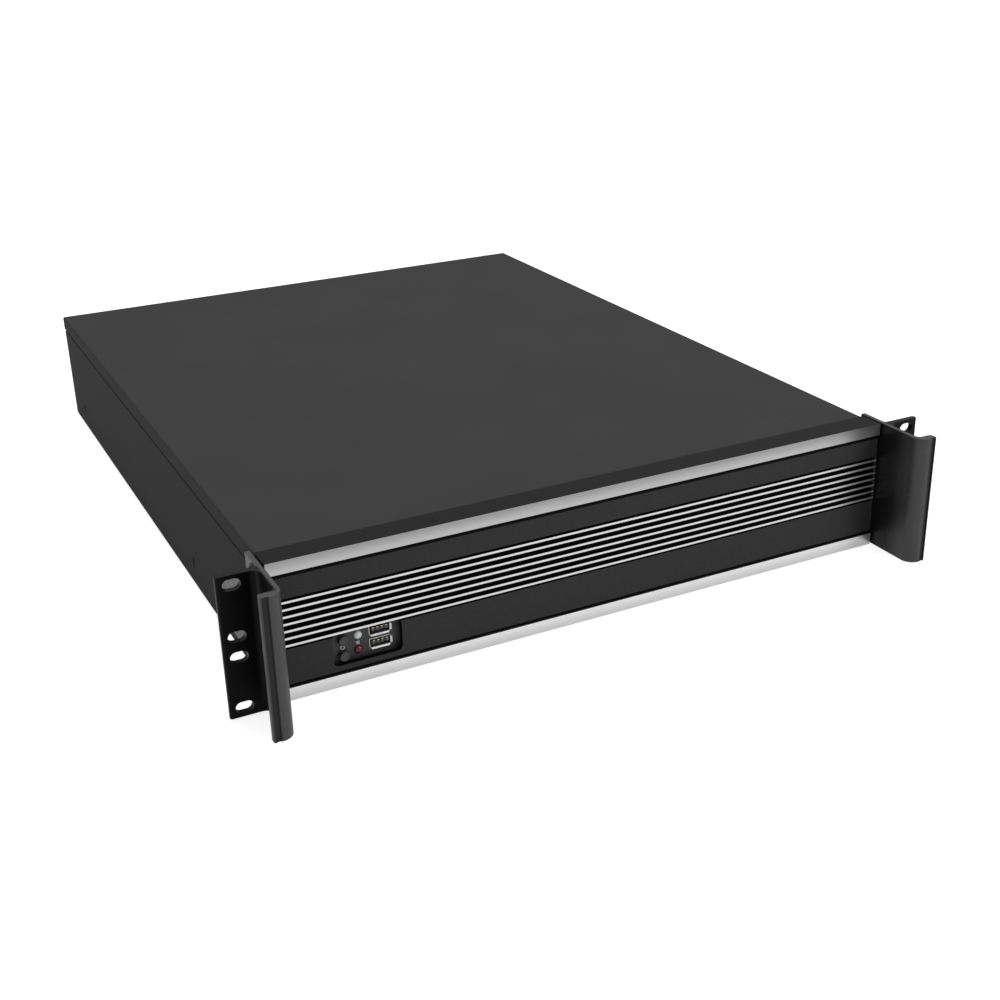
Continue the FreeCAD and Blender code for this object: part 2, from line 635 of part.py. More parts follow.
def handle(label, side):
    """One extrusion along Z: rack ear, web with its leg, and the hook-shaped grip."""
    body = new_body(label)
    near = GRIP_TIP + " - flute_inset - flute_width/2"
    far = GRIP_TIP + " - flute_inset + flute_width/2"
    flute = GRIP_FRONT + " + flute_depth"
    corners = [(WEB_INNER, "leg_depth"), (WEB_INNER, GRIP_FRONT)]
    corners += [(near, GRIP_FRONT), (near, flute), (far, flute), (far, GRIP_FRONT)]
    corners += [(GRIP_TIP, GRIP_FRONT), (GRIP_TIP, GRIP_BACK), (WEB_OUTER, GRIP_BACK)]
    corners += [(WEB_OUTER, "-ear_thickness"), (EAR_EDGE, "-ear_thickness"), (EAR_EDGE, "0")]
    corners += [(WEB_OUTER, "0"), (WEB_OUTER, "leg_depth")]
    outline(sketch_on(body, "XY", "0"), [(sided(side, x), y) for x, y in corners])
    grow(body, body.Group[-1], "panel_height")
    roundings = [
        ("nose_radius", [(WEB_INNER, GRIP_FRONT)]),
        ("tip_front_radius", [(GRIP_TIP, GRIP_FRONT)]),
        ("tip_radius", [(GRIP_TIP, GRIP_BACK)]),
        ("palm_radius", [(WEB_OUTER, GRIP_BACK)]),
        ("root_radius", [(WEB_OUTER, "-ear_thickness")]),
        ("ear_corner", [(EAR_EDGE, "-ear_thickness"), (EAR_EDGE, "0")]),
        ("heel_radius", [(WEB_OUTER, "0")]),
    ]
    for radius, places in roundings:
        soften(body, "Fillet", "Z", [(sided(side, x), y) for x, y in places], radius)
    slots = sketch_on(body, "XZ", "-ear_thickness - gap")
    for rows in ("slot_outer", "slot_inner"):
        for way in "-+":
            height = "panel_height/2 %s %s/2" % (way, rows)
            slot(slots, sided(side, EAR_EDGE + " - slot_inset"), height, "slot_length", "slot_width")
    cut(body, slots, "ear_thickness + 2*gap")
    holes = sketch_on(body, "YZ", span_start(side, WEB_INNER + " - gap", WEB_OUTER + " + gap"))
    for height in (PORT_LOW, PORT_HIGH):
        circle(holes, PORT_Y, height, "screw_radius + screw_play")
    for height in EAR_SCREWS:
        circle(holes, "ear_screw_y", height, "screw_radius + screw_play")
    cut(body, holes, "web_thickness + 2*gap")


EAR_SCREWS = ("ear_screw_low", "ear_screw_high")


def ear_bracket(label, side):
    """Steel plate with a falling top, on the side of the tray, that takes the leg of the ear."""
    body = new_body(label)
    start = span_start(side, "body_width/2", WEB_INNER)
    sketch = sketch_on(body, "YZ", start)
    top = [("bracket_end", "bracket_heel"), ("bracket_slope", "bracket_top"), ("bracket_front", "bracket_top")]
    outline(sketch, [("bracket_front", "bracket_bottom"), ("bracket_end", "bracket_bottom")] + top)
    grow(body, sketch, "sheet")
    soften(body, "Fillet", "X", [("bracket_end", "bracket_bottom"), ("bracket_end", "bracket_heel")],
           "bracket_corner")
    holes = sketch_on(body, "YZ", start)
    slot(holes, "rail_hole_front", "rail_hole_z", "rail_hole_length", "rail_hole_width", upright=True)
    for height in EAR_SCREWS:
        circle(holes, "ear_screw_y", height, "screw_radius + rivet_play")
    cut(body, holes, "sheet")


# ------------------------------------------------------------------------------------- tray and lid
STEP_Z = "body_height - skirt_height - skirt_gap"
SIDE_UPPER = "body_width/2 - joggle"
TRAY_TOP = "body_height - sheet - gap"
LEDGE_Z = "(body_height - ledge_drop)"


def tray_half():
    """The right half of the tray's section, outside first, from the bottom to the flange and back down."""
    slope = "(%s - joggle)" % STEP_Z
    half = [("body_width/2", "0"), ("body_width/2", slope), (SIDE_UPPER, STEP_Z), (SIDE_UPPER, TRAY_TOP)]
    half += [(SIDE_UPPER + " - tray_flange", TRAY_TOP), (SIDE_UPPER + " - tray_flange", TRAY_TOP + " - sheet")]
    half += [(SIDE_UPPER + " - sheet", TRAY_TOP + " - sheet"), (SIDE_UPPER + " - sheet", STEP_Z + " - sheet/2")]
    half += [("body_width/2 - sheet", slope + " - sheet/2"), ("body_width/2 - sheet", "sheet")]
    return half


def chassis_tray():
    """Floor, two joggled sides with inward flanges, and a front flange with a window for the controls."""
    body = new_body("chassis_tray")
    right = tray_half()
    left = [("-(%s)" % x, z) for x, z in reversed(right)]
    outline(sketch_on(body, "XZ", "bezel_depth"), right + left)
    grow(body, body.Group[-1], "case_depth - bezel_depth")
    corners = [("body_width/2", "0"), ("-body_width/2", "0")]
    soften(body, "Fillet", "Y", corners, "bend")
    front = sketch_on(body, "XZ", "bezel_depth")
    rectangle(front, "gap + sheet - body_width/2", "body_width/2 - sheet - gap", "sheet/2", "front_flange_top")
    grow(body, front, "sheet")
    opening = sketch_on(body, "XZ", "bezel_depth")
    rectangle(opening, WINDOW_X + " - plate_width/2 - cutout_side", WINDOW_X + " + plate_width/2 + cutout_side",
              "plate_bottom - cutout_below", "plate_top + cutout_above")
    cut(body, opening, "sheet")
    holes = sketch_on(body, "YZ", "-body_width/2")
    for y in RAIL_HOLES:
        slot(holes, y, "rail_hole_z", "rail_hole_length", "rail_hole_width", upright=True)
    cut(body, holes, "body_width")


LID_FRONT = "bezel_depth + gap"
LID_REAR = "case_depth + gap + sheet"
THUMB_LEFT = RECESS_EDGE + " + thumb_margin"
THUMB_RIGHT = "body_width/2 - thumb_inset"
THUMBS = (THUMB_LEFT, "(%s + %s)/2" % (THUMB_LEFT, THUMB_RIGHT), THUMB_RIGHT)


def top_cover():
    """Lid with side skirts, a rear skirt for the thumbscrews and a lip that goes under the front panel."""
    body = new_body("top_cover")
    inner = "body_width/2 - sheet"
    skirt = "body_height - skirt_height"
    right = [("body_width/2", skirt), ("body_width/2", "body_height")]
    left = [("-body_width/2", "body_height"), ("-body_width/2", skirt), ("-(%s)" % inner, skirt)]
    under = [("-(%s)" % inner, "body_height - sheet"), (inner, "body_height - sheet"), (inner, skirt)]
    outline(sketch_on(body, "XZ", LID_FRONT), right + left + under)
    grow(body, body.Group[-1], LID_REAR + " - bezel_depth - gap")
    rear = sketch_on(body, "XZ", "case_depth + gap")
    rectangle(rear, "-(%s)" % inner, inner, "body_height - rear_skirt", "body_height - sheet/2")
    grow(body, rear, "sheet")
    soften(body, "Fillet", "Y", [("body_width/2", "body_height"), ("-body_width/2", "body_height")], "bend")
    lip = sketch_on(body, "XY", "body_height - 2*sheet")
    rectangle(lip, "-lip_width/2", "lip_width/2", LID_FRONT + " - lip_reach", LID_FRONT + " + lip_reach")
    grow(body, lip, "sheet")
    holes = sketch_on(body, "XZ", "case_depth + gap")
    for x in THUMBS:
        circle(holes, x, "(body_height - thumb_drop)", "screw_radius + screw_play")
    cut(body, holes, "sheet")


# ------------------------------------------------------------------------------------ cards and rear
RECESS_Y = "case_depth - recess_depth - sheet"
TOP_UNDER = "body_height - 2*sheet - gap"
IN_WIDE = "body_width/2 - sheet"
IN_NARROW = "body_width/2 - joggle - sheet"
REAR_STEP = "body_height - skirt_height - skirt_gap - joggle - sheet/2"


def rear_panel():
    """Rear wall in one sheet, stepped inward at the card bay, with a ledge on top of the step."""
    body = new_body("rear_panel")
    main = [(RECESS_EDGE, "sheet"), (IN_WIDE, "sheet"), (IN_WIDE, REAR_STEP)]
    main += [(IN_NARROW, REAR_STEP + " + joggle"), (IN_NARROW, TOP_UNDER), ("-(%s)" % IN_NARROW, TOP_UNDER)]
    main += [("-(%s)" % IN_NARROW, LEDGE_Z + " - sheet"), (RECESS_EDGE, LEDGE_Z + " - sheet")]
    grow(body, outline(sketch_on(body, "XZ", "case_depth - sheet"), main), "sheet")
    ledge = sketch_on(body, "XY", LEDGE_Z + " - sheet")
    rectangle(ledge, "-(%s)" % IN_NARROW, RECESS_EDGE + " + sheet", RECESS_Y, "case_depth")
    grow(body, ledge, "sheet")
    cheek = sketch_on(body, "YZ", RECESS_EDGE)
    rectangle(cheek, RECESS_Y, "case_depth", "sheet", LEDGE_Z)
    grow(body, cheek, "sheet")
    cheek_outer = RECESS_EDGE + " + sheet"
    bay = [("-(%s)" % IN_WIDE, "sheet"), (cheek_outer, "sheet"), (cheek_outer, LEDGE_Z)]
    bay += [("-(%s)" % IN_NARROW, LEDGE_Z), ("-(%s)" % IN_NARROW, REAR_STEP + " + joggle")]
    bay += [("-(%s)" % IN_WIDE, REAR_STEP)]
    grow(body, outline(sketch_on(body, "XZ", RECESS_Y), bay), "sheet")
    foot = sketch_on(body, "XY", "sheet")
    rectangle(foot, RECESS_EDGE + " + 2*sheet", IN_WIDE, "case_depth - wall_flange", "case_depth - sheet/2")
    grow(body, foot, "sheet")
    head = sketch_on(body, "XY", TOP_UNDER + " - sheet")
    rectangle(head, RECESS_EDGE + " + 2*sheet", IN_NARROW, "case_depth - wall_flange", "case_depth - sheet/2")
    grow(body, head, "sheet")
    card = sketch_on(body, "XZ", RECESS_Y)
    rectangle(card, CARD_FIRST + " - card_width/2", CARD_FIRST + " + card_width/2", "card_bottom", "card_top")
    first = cut(body, card, "sheet")
    repeat(body, first, "X", "card_pitch*(card_count - 1)", "card_count", reverse=True)
    rear_openings(body)


def rear_openings(body):
    """Openings of the flat part of the rear wall: board connectors, power supply, air slots and screws."""
    holes = sketch_on(body, "XZ", "case_depth - sheet")
    rectangle(holes, PORT_LEFT, PORT_LEFT + " + port_width", "port_bottom", "port_bottom + port_height")
    rounded(holes, SUPPLY_LEFT, SUPPLY_RIGHT, "supply_z - supply_height/2", "supply_z + supply_height/2",
            "supply_corner")
    for across in (SUPPLY_LEFT + " - supply_hole_out", SUPPLY_RIGHT + " + supply_hole_out"):
        for upward in "-+":
            circle(holes, across, "supply_z %s supply_hole_z/2" % upward, "screw_radius + screw_play")
    for x in THUMBS:
        circle(holes, x, "(body_height - thumb_drop)", "screw_radius + screw_play")
    cut(body, holes, "sheet")
    grille = sketch_on(body, "XZ", "case_depth - sheet")
    middle = "grille_bottom + grille_length/2"
    slot(grille, PORT_LEFT + " + grille_margin", middle, "grille_length", "vent_width", upright=True)
    first = cut(body, grille, "sheet")
    repeat(body, first, "X", "grille_pitch*(grille_count - 1)", "grille_count")
    tops = sketch_on(body, "XY", LEDGE_Z + " - sheet")
    for number in range(int(value("card_count"))):
        circle(tops, CARD_FIRST + " - %d*card_pitch" % number, "case_depth - card_screw", "screw_radius")
    cut(body, tops, "sheet")


def slot_cover(number):
    """Blank for one card slot, with its tab bent over the ledge."""
    body = new_body("slot_cover_%d" % (number + 1))
    middle = CARD_FIRST + " - %d*card_pitch" % number
    front, top = RECESS_Y + " - blank_thickness", LEDGE_Z + " + blank_thickness"
    tab = "case_depth - sheet - gap"
    corners = [(front, "card_bottom - blank_overlap"), (RECESS_Y, "card_bottom - blank_overlap")]
    corners += [(RECESS_Y, LEDGE_Z), (tab, LEDGE_Z), (tab, top), (front, top)]
    outline(sketch_on(body, "YZ", middle + " - blank_width/2"), corners)
    grow(body, body.Group[-1], "blank_width")
    hole = sketch_on(body, "XY", LEDGE_Z)
    circle(hole, middle, "case_depth - card_screw", "screw_radius + screw_play")
    cut(body, hole, "blank_thickness")


# ------------------------------------------------------------------------------------ inside the case
def drive_cage(label, side):
    """Upside-down U with out-turned feet and three rows of screw holes for 3.5 inch drives."""
    body = new_body(label)
    middle = sided(side, "(body_width/2 - cage_inset)")
    top = "body_height - cage_drop"
    right = [("cage_inside/2 + sheet + cage_foot", "sheet"), ("cage_inside/2 + sheet + cage_foot", "2*sheet")]
    right += [("cage_inside/2 + sheet", "2*sheet"), ("cage_inside/2 + sheet", top)]
    inner = [("cage_inside/2", "sheet"), ("cage_inside/2", top + " - sheet")]
    corners = [("%s + %s" % (middle, x), z) for x, z in right]
    corners += [("%s - (%s)" % (middle, x), z) for x, z in reversed(right)]
    corners += [("%s - %s" % (middle, x), z) for x, z in inner]
    corners += [("%s + %s" % (middle, x), z) for x, z in reversed(inner)]
    outline(sketch_on(body, "XZ", "cage_front"), corners)
    grow(body, body.Group[-1], "cage_length")
    holes = sketch_on(body, "YZ", "%s - cage_inside/2 - 2*sheet" % middle)
    for row in range(int(value("drive_rows"))):
        for y in ("cage_front + drive_hole_front", "cage_front + drive_hole_front + drive_hole_span"):
            circle(holes, y, "sheet + drive_hole_z + %d*drive_pitch" % row, "drive_hole_radius")
    cut(body, holes, "cage_inside + 4*sheet")


FANS = (-1, 0, 1)


def fan_x(number):
    return "%d*(body_width/2 - fan_inset)" % number


def fan_corners(number):
    """The two opposite corners of a fan that take screws."""
    half = FAN_HOLES + "/2"
    return [("%s %s %s" % (fan_x(number), across, half), "%s %s %s" % (FAN_Z, upward, half))
            for across, upward in (("-", "+"), ("+", "-"))]


def fan_wall():
    """Cross wall behind the cages with three round openings."""
    body = new_body("fan_wall")
    half = [(IN_WIDE, "sheet"), (IN_WIDE, REAR_STEP)]
    half += [(IN_NARROW, REAR_STEP + " + joggle"), (IN_NARROW, TOP_UNDER)]
    whole = half + [("-(%s)" % x, z) for x, z in reversed(half)]
    grow(body, outline(sketch_on(body, "XZ", "fan_wall_y"), whole), "sheet")
    foot = sketch_on(body, "XY", "sheet")
    rectangle(foot, "-(%s)" % IN_WIDE, IN_WIDE, "fan_wall_y - wall_flange", "fan_wall_y + sheet/2")
    grow(body, foot, "sheet")
    holes = sketch_on(body, "XZ", "fan_wall_y")
    for number in FANS:
        circle(holes, fan_x(number), FAN_Z, FAN_BORE)
        for x, z in fan_corners(number):
            circle(holes, x, z, "screw_radius + screw_play")
    cut(body, holes, "sheet")


FAN_Y = "fan_wall_y + sheet"


def fan_frame(label, number):
    """Square frame with a round duct; four struts at the back carry the plate with the rotor's bearing."""
    body = new_body(label)
    x = fan_x(number)
    square = sketch_on(body, "XZ", FAN_Y)
    half = FAN_SIZE + "/2"
    rectangle(square, x + " - " + half, x + " + " + half, FAN_Z + " - " + half, FAN_Z + " + " + half)
    grow(body, square, "fan_depth")
    cut(body, circle(sketch_on(body, "XZ", FAN_Y), x, FAN_Z, FAN_BORE), "fan_depth")
    back = FAN_Y + " + fan_depth - motor_plate"
    grow(body, circle(sketch_on(body, "XZ", back), x, FAN_Z, "hub_radius + hub_cover"), "motor_plate")
    reach = FAN_BORE + " + strut_sink"
    for wide, high in ((reach, "strut_width/2"), ("strut_width/2", reach)):
        strut = sketch_on(body, "XZ", back)
        rectangle(strut, "%s - (%s)" % (x, wide), "%s + %s" % (x, wide), FAN_Z + " - (%s)" % high,
                  FAN_Z + " + %s" % high)
        grow(body, strut, "motor_plate")
    cut(body, circle(sketch_on(body, "XZ", back), x, FAN_Z, "shaft_radius + shaft_play"), "motor_plate")
    holes = sketch_on(body, "XZ", FAN_Y)
    for across, upward in fan_corners(number):
        circle(holes, across, upward, "screw_radius + rivet_play")
    cut(body, holes, "fan_depth")


def fan_rotor(label, number):
    """Hub, shaft and seven pitched blades, drawn round the body's own Y axis."""
    body = new_body(label)
    grow(body, circle(sketch_on(body, "XZ", "hub_inset"), "0", "0", "hub_radius"), "hub_depth")
    shaft = circle(sketch_on(body, "XZ", "hub_inset + hub_depth"), "0", "0", "shaft_radius")
    grow(body, shaft, "fan_depth - hub_inset - hub_depth - gap")
    middle, half = "hub_inset + hub_depth/2", "blade_thickness/2"
    sections = []
    for reach, run in (("hub_radius - blade_sink", "blade_root"), ("blade_tip", "blade_run")):
        front, back = "%s - %s*blade_slope" % (middle, run), "%s + %s*blade_slope" % (middle, run)
        corners = [(front, "-%s - %s" % (run, half)), (front, "%s - %s" % (half, run))]
        corners += [(back, "%s + %s" % (run, half)), (back, "%s - %s" % (run, half))]
        sections.append(outline(sketch_on(body, "YZ", reach), corners))
    blade = body.newObject("PartDesign::AdditiveLoft", body.Name + "_blade")
    blade.Profile = sections[0]
    blade.Sections = [sections[1]]
    blade.Ruled = True
    body.Tip = blade
    doc.recompute()
    ring = body.newObject("PartDesign::PolarPattern", body.Name + "_ring")
    ring.Originals = [blade]
    ring.Axis = ([f for f in body.Origin.OriginFeatures if f.Role == "Y_Axis"][0], [""])
    ring.Angle = 360
    bind(ring, Occurrences="blade_count")
    body.Tip = ring
    doc.recompute()
    bind(body, Placement__Base__x=fan_x(number), Placement__Base__y=FAN_Y, Placement__Base__z=FAN_Z)


def supply_bracket():
    """Angle on the floor that stops the power supply from sliding forward."""
    body = new_body("supply_bracket")
    stop = "case_depth - sheet - supply_length"
    corners = [(stop, "sheet"), (stop, "supply_stop"), (stop + " - sheet", "supply_stop")]
    corners += [(stop + " - sheet", "2*sheet"), (stop + " - wall_flange", "2*sheet")]
    corners += [(stop + " - wall_flange", "sheet")]
    outline(sketch_on(body, "YZ", SUPPLY_LEFT + " - supply_bracket_out"), corners)
    grow(body, body.Group[-1], "%s - %s + 2*supply_bracket_out" % (SUPPLY_RIGHT, SUPPLY_LEFT))


def board_standoffs():
    """Nine six-sided posts that carry the mainboard."""
    right, rear = PORT_LEFT + " + port_width - standoff_margin", "case_depth - standoff_rear"
    columns = [right, right + " - standoff_wide", right + " - standoff_wide - standoff_narrow"]
    rows = [rear, rear + " - standoff_long", rear + " - standoff_long - standoff_short"]
    posts = []
    for i, x in enumerate(columns):
        for j, y in enumerate(rows):
            name = "standoff_%d%d" % (i, j)
            post = bind(doc.addObject("Part::Prism", name), Circumradius="standoff_radius",
                        Height="standoff_height")
            put(post, x, y, "sheet", "+Z")
            bore = rod(name + "_bore", x, y, "sheet", "+Z", "standoff_bore", "standoff_height")
            posts.append(minus(name + "_post", post, bore))
    group("board_standoffs", posts)


# ------------------------------------------------------------------------------------------- controls
BUTTONS = (("power", "control_z + button_pitch/2"), ("reset", "control_z - button_pitch/2"))
LAMPS = (("status", "control_z + lamp_lift + lamp_pitch/2"), ("drive", "control_z + lamp_lift - lamp_pitch/2"))
SOCKETS = (("upper", "control_z + socket_lift + socket_pitch/2"),
           ("lower", "control_z + socket_lift - socket_pitch/2"))
PLATE_REAR = "bezel_rear + plate_thickness"
POSTS = [(WINDOW_X + " %s post_span/2" % across, "control_z %s post_rise/2" % upward)
         for across in "-+" for upward in "-+"]
BOARD_POSTS = (POSTS[0], POSTS[3])


def control_plate():
    """Plate behind the window, with four posts for the control board."""
    body = new_body("control_plate")
    sketch = sketch_on(body, "XZ", "bezel_rear")
    rectangle(sketch, WINDOW_X + " - plate_width/2", WINDOW_X + " + plate_width/2", "plate_bottom", "plate_top")
    grow(body, sketch, "plate_thickness")
    for x, z in POSTS:
        grow(body, circle(sketch_on(body, "XZ", PLATE_REAR), x, z, "post_radius"),
             "board_front - bezel_rear - plate_thickness")
    holes = sketch_on(body, "XZ", "bezel_rear")
    for name, z in BUTTONS:
        circle(holes, BUTTON_X, z, "button_radius + button_play")
    for name, z in LAMPS:
        circle(holes, LAMP_X, z, "lamp_radius + rivet_play")
    for name, z in SOCKETS:
        left = SOCKET_X + " - socket_width/2 - rivet_play"
        right = SOCKET_X + " + socket_width/2 + rivet_play"
        rectangle(holes, left, right, z + " - socket_height/2 - rivet_play", z + " + socket_height/2 + rivet_play")
    for x in PLATE_SCREWS:
        circle(holes, x, "control_z", "screw_radius + screw_play")
    cut(body, holes, "plate_thickness")
    threads = sketch_on(body, "XZ", "board_front - board_screw_length + board_thickness")
    for x, z in BOARD_POSTS:
        circle(threads, x, z, "board_screw_radius")
    cut(body, threads, "board_screw_length")


def control_board():
    body = new_body("control_board")
    sketch = sketch_on(body, "XZ", "board_front")
    rectangle(sketch, WINDOW_X + " - board_width/2", WINDOW_X + " + board_width/2", "plate_bottom + board_low",
              "plate_top - board_high")
    grow(body, sketch, "board_thickness")
    holes = sketch_on(body, "XZ", "board_front")
    for x, z in BOARD_POSTS:
        circle(holes, x, z, "board_screw_radius + screw_play")
    cut(body, holes, "board_thickness")


def button(label, z):
    """Cap, collar behind the plate and stem, all round one axis."""
    crown = taper(label + "_crown", BUTTON_X, "button_front", z, "+Y", "button_radius - button_bevel",
                  "button_radius", "button_bevel")
    cap = rod(label + "_cap", BUTTON_X, "button_front + button_bevel", z, "+Y", "button_radius",
              PLATE_REAR + " + gap - button_front - button_bevel + collar_thickness/2")
    collar = rod(label + "_collar", BUTTON_X, PLATE_REAR + " + gap", z, "+Y", "collar_radius",
                 "collar_thickness")
    stem = rod(label + "_stem", BUTTON_X, PLATE_REAR + " + gap", z, "+Y", "stem_radius",
               "board_front - switch_depth + stem_depth - bezel_rear - plate_thickness - gap")
    keep(fuse(label, [crown, cap, collar, stem]), label)


def switch(label, z):
    """Small push switch on the control board, open in front for the button's stem."""
    body = new_body(label)
    front = "board_front - switch_depth"
    sketch = sketch_on(body, "XZ", front)
    rectangle(sketch, BUTTON_X + " - switch_size/2", BUTTON_X + " + switch_size/2", z + " - switch_size/2",
              z + " + switch_size/2")
    grow(body, sketch, "switch_depth")
    well = circle(sketch_on(body, "XZ", front), BUTTON_X, z, "stem_radius + gap")
    cut(body, well, "stem_depth + button_travel + gap")


def lamp(label, z):
    """Lamp with a tapered tip, a rim behind the plate and two leads to the board."""
    tip = taper(label + "_tip", LAMP_X, "lamp_front", z, "+Y", "lamp_radius/2", "lamp_radius", "lamp_taper")
    lens = rod(label + "_lens", LAMP_X, "lamp_front + lamp_taper", z, "+Y", "lamp_radius",
               PLATE_REAR + " + lamp_rim - lamp_front - lamp_taper")
    rim = rod(label + "_rim", LAMP_X, PLATE_REAR, z, "+Y", "lamp_radius + lamp_rim_width", "lamp_rim")
    reach = "board_front - bezel_rear - plate_thickness - lamp_rim"
    leads = []
    for i, way in enumerate("-+"):
        side = LAMP_X + " %s lead_half_span - lead_size/2" % way
        leads.append(block(label + "_lead_%d" % i, side, PLATE_REAR + " + lamp_rim", z + " - lead_size/2",
                           "lead_size", reach, "lead_size"))
    keep(fuse(label, [tip, lens, rim] + leads), label)


def socket_shell(label, z):
    """Folded metal shell, open in front, closed by its rear wall on the control board."""
    body = new_body(label)
    sketch = sketch_on(body, "XZ", "socket_front")
    rectangle(sketch, SOCKET_X + " - socket_width/2", SOCKET_X + " + socket_width/2", z + " - socket_height/2",
              z + " + socket_height/2")
    grow(body, sketch, "board_front - socket_front")
    inside = sketch_on(body, "XZ", "socket_front")
    left = SOCKET_X + " - socket_width/2 + socket_wall"
    right = SOCKET_X + " + socket_width/2 - socket_wall"
    rectangle(inside, left, right, z + " - socket_height/2 + socket_wall", z + " + socket_height/2 - socket_wall")
    cut(body, inside, "board_front - socket_front - socket_floor")


def socket_tongue(label, z):
    body = new_body(label)
    sketch = sketch_on(body, "XZ", "socket_front + socket_wall")
    low = z + " + tongue_lift - tongue_thickness/2"
    rectangle(sketch, SOCKET_X + " - tongue_width/2", SOCKET_X + " + tongue_width/2", low,
              low + " + tongue_thickness")
    grow(body, sketch, "board_front - socket_floor - socket_front - socket_wall")


# ------------------------------------------------------------------------------------------ fasteners
def leg_screws():
    """Screws through the legs into the ends of the front panel's screw channels."""
    screws = []
    for side in (-1, 1):
        for number, height in enumerate((PORT_LOW, PORT_HIGH)):
            place = (sided(side, WEB_OUTER), PORT_Y, height)
            screws.append(screw("leg_screw_%d%d" % (side + 1, number), place, "-+"[side > 0] + "X",
                                "leg_screw_length"))
    group("leg_screws", screws)


def ear_screws():
    """Screws that hold each leg on its bracket."""
    screws = []
    for side in (-1, 1):
        for number, height in enumerate(EAR_SCREWS):
            place = (sided(side, WEB_OUTER), "ear_screw_y", height)
            screws.append(screw("ear_screw_%d%d" % (side + 1, number), place, "-+"[side > 0] + "X",
                                "web_thickness + 2*sheet"))
    group("ear_screws", screws)


def cover_screws():
    """Captive thumbscrews of the lid."""
    screws = []
    for number, x in enumerate(THUMBS):
        place = (x, "case_depth + gap + sheet", "(body_height - thumb_drop)")
        screws.append(screw("cover_screw_%d" % number, place, "+Y", "thumb_length",
                            ("thumb_radius", "thumb_depth")))
    group("cover_screws", screws)


def slot_screws():
    """Screws through the slot covers' tabs into the ledge."""
    screws = []
    for number in range(int(value("card_count"))):
        place = (CARD_FIRST + " - %d*card_pitch" % number, "case_depth - card_screw",
                 LEDGE_Z + " + blank_thickness")
        screws.append(screw("slot_screw_%d" % number, place, "+Z", "blank_thickness + sheet + gap",
                            ("screw_head", "slot_screw_head")))
    group("slot_screws", screws)


def control_screws():
    """Screws that hold the control plate on the back of the front panel."""
    screws = []
    for number, x in enumerate(PLATE_SCREWS):
        screws.append(screw("control_screw_%d" % number, (x, PLATE_REAR, "control_z"), "+Y",
                            "plate_thickness + pilot_depth - gap"))
    group("control_screws", screws)


def board_screws():
    """Small screws that hold the control board on two of the posts."""
    screws = []
    for number, (x, z) in enumerate(BOARD_POSTS):
        place = (x, "board_front + board_thickness", z)
        head = ("board_screw_radius + board_screw_rim", "screw_head_height/2")
        screws.append(screw("board_screw_%d" % number, place, "+Y", "board_screw_length", head,
                            "board_screw_radius"))
    group("board_screws", screws)


def fan_screws():
    """Two screws for each fan, through the fan wall into opposite corners of the frame."""
    screws = []
    for number in FANS:
        for corner, (x, z) in enumerate(fan_corners(number)):
            name = "fan_screw_%d%d" % (number + 1, corner)
            screws.append(screw(name, (x, "fan_wall_y", z), "-Y", "fan_screw_length"))
    group("fan_screws", screws)


# --------------------------------------------------------------------------------------------- the case
front_panel()
handle("handle_left", -1)
handle("handle_right", 1)
ear_bracket("ear_bracket_left", -1)
ear_bracket("ear_bracket_right", 1)
chassis_tray()
top_cover()
rear_panel()
for number in range(int(value("card_count"))):
    slot_cover(number)
drive_cage("drive_cage_left", -1)
drive_cage("drive_cage_right", 1)
fan_wall()
for number in FANS:
    fan_frame("fan_frame_%d" % (number + 2), number)
    fan_rotor("fan_rotor_%d" % (number + 2), number)
supply_bracket()
board_standoffs()
control_plate()
control_board()
for name, height in BUTTONS:
    button(name + "_button", height)
    switch(name + "_switch", height)
for name, height in LAMPS:
    lamp(name + "_lamp", height)
for name, height in SOCKETS:
    socket_shell("usb_shell_" + name, height)
    socket_tongue("usb_tongue_" + name, height)
leg_screws()
ear_screws()
cover_screws()
slot_screws()
control_screws()
board_screws()
fan_screws()
doc.recompute()

for thing in doc.Objects:
    bad = [state for state in thing.State if state in ("Invalid", "Error")]
    assert not bad, "%s: %s" % (thing.Name, bad)
for part in SUBPARTS:
    assert not part.Shape.isNull() and part.Shape.isValid(), part.Label
for part in SUBPARTS:
    part.Shape.exportStep("parts/%s.step" % part.Label)
print(len(SUBPARTS), "pieces written")
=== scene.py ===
# %% [markdown]
# # Looks for an empty rackmount case, two units high
# The construction comes packed as a fixed frame: every sheet, screw and fan is a mesh at its true
# place, in metres. Here each of them gets its finish, and the few pieces whose charm is in small
# forms are modelled again. X runs to the right, Y to the back and Z up, with the case on the floor
# at Z = 0.

import json
import math

import bmesh
import bpy
from mathutils import Euler, Matrix, Vector


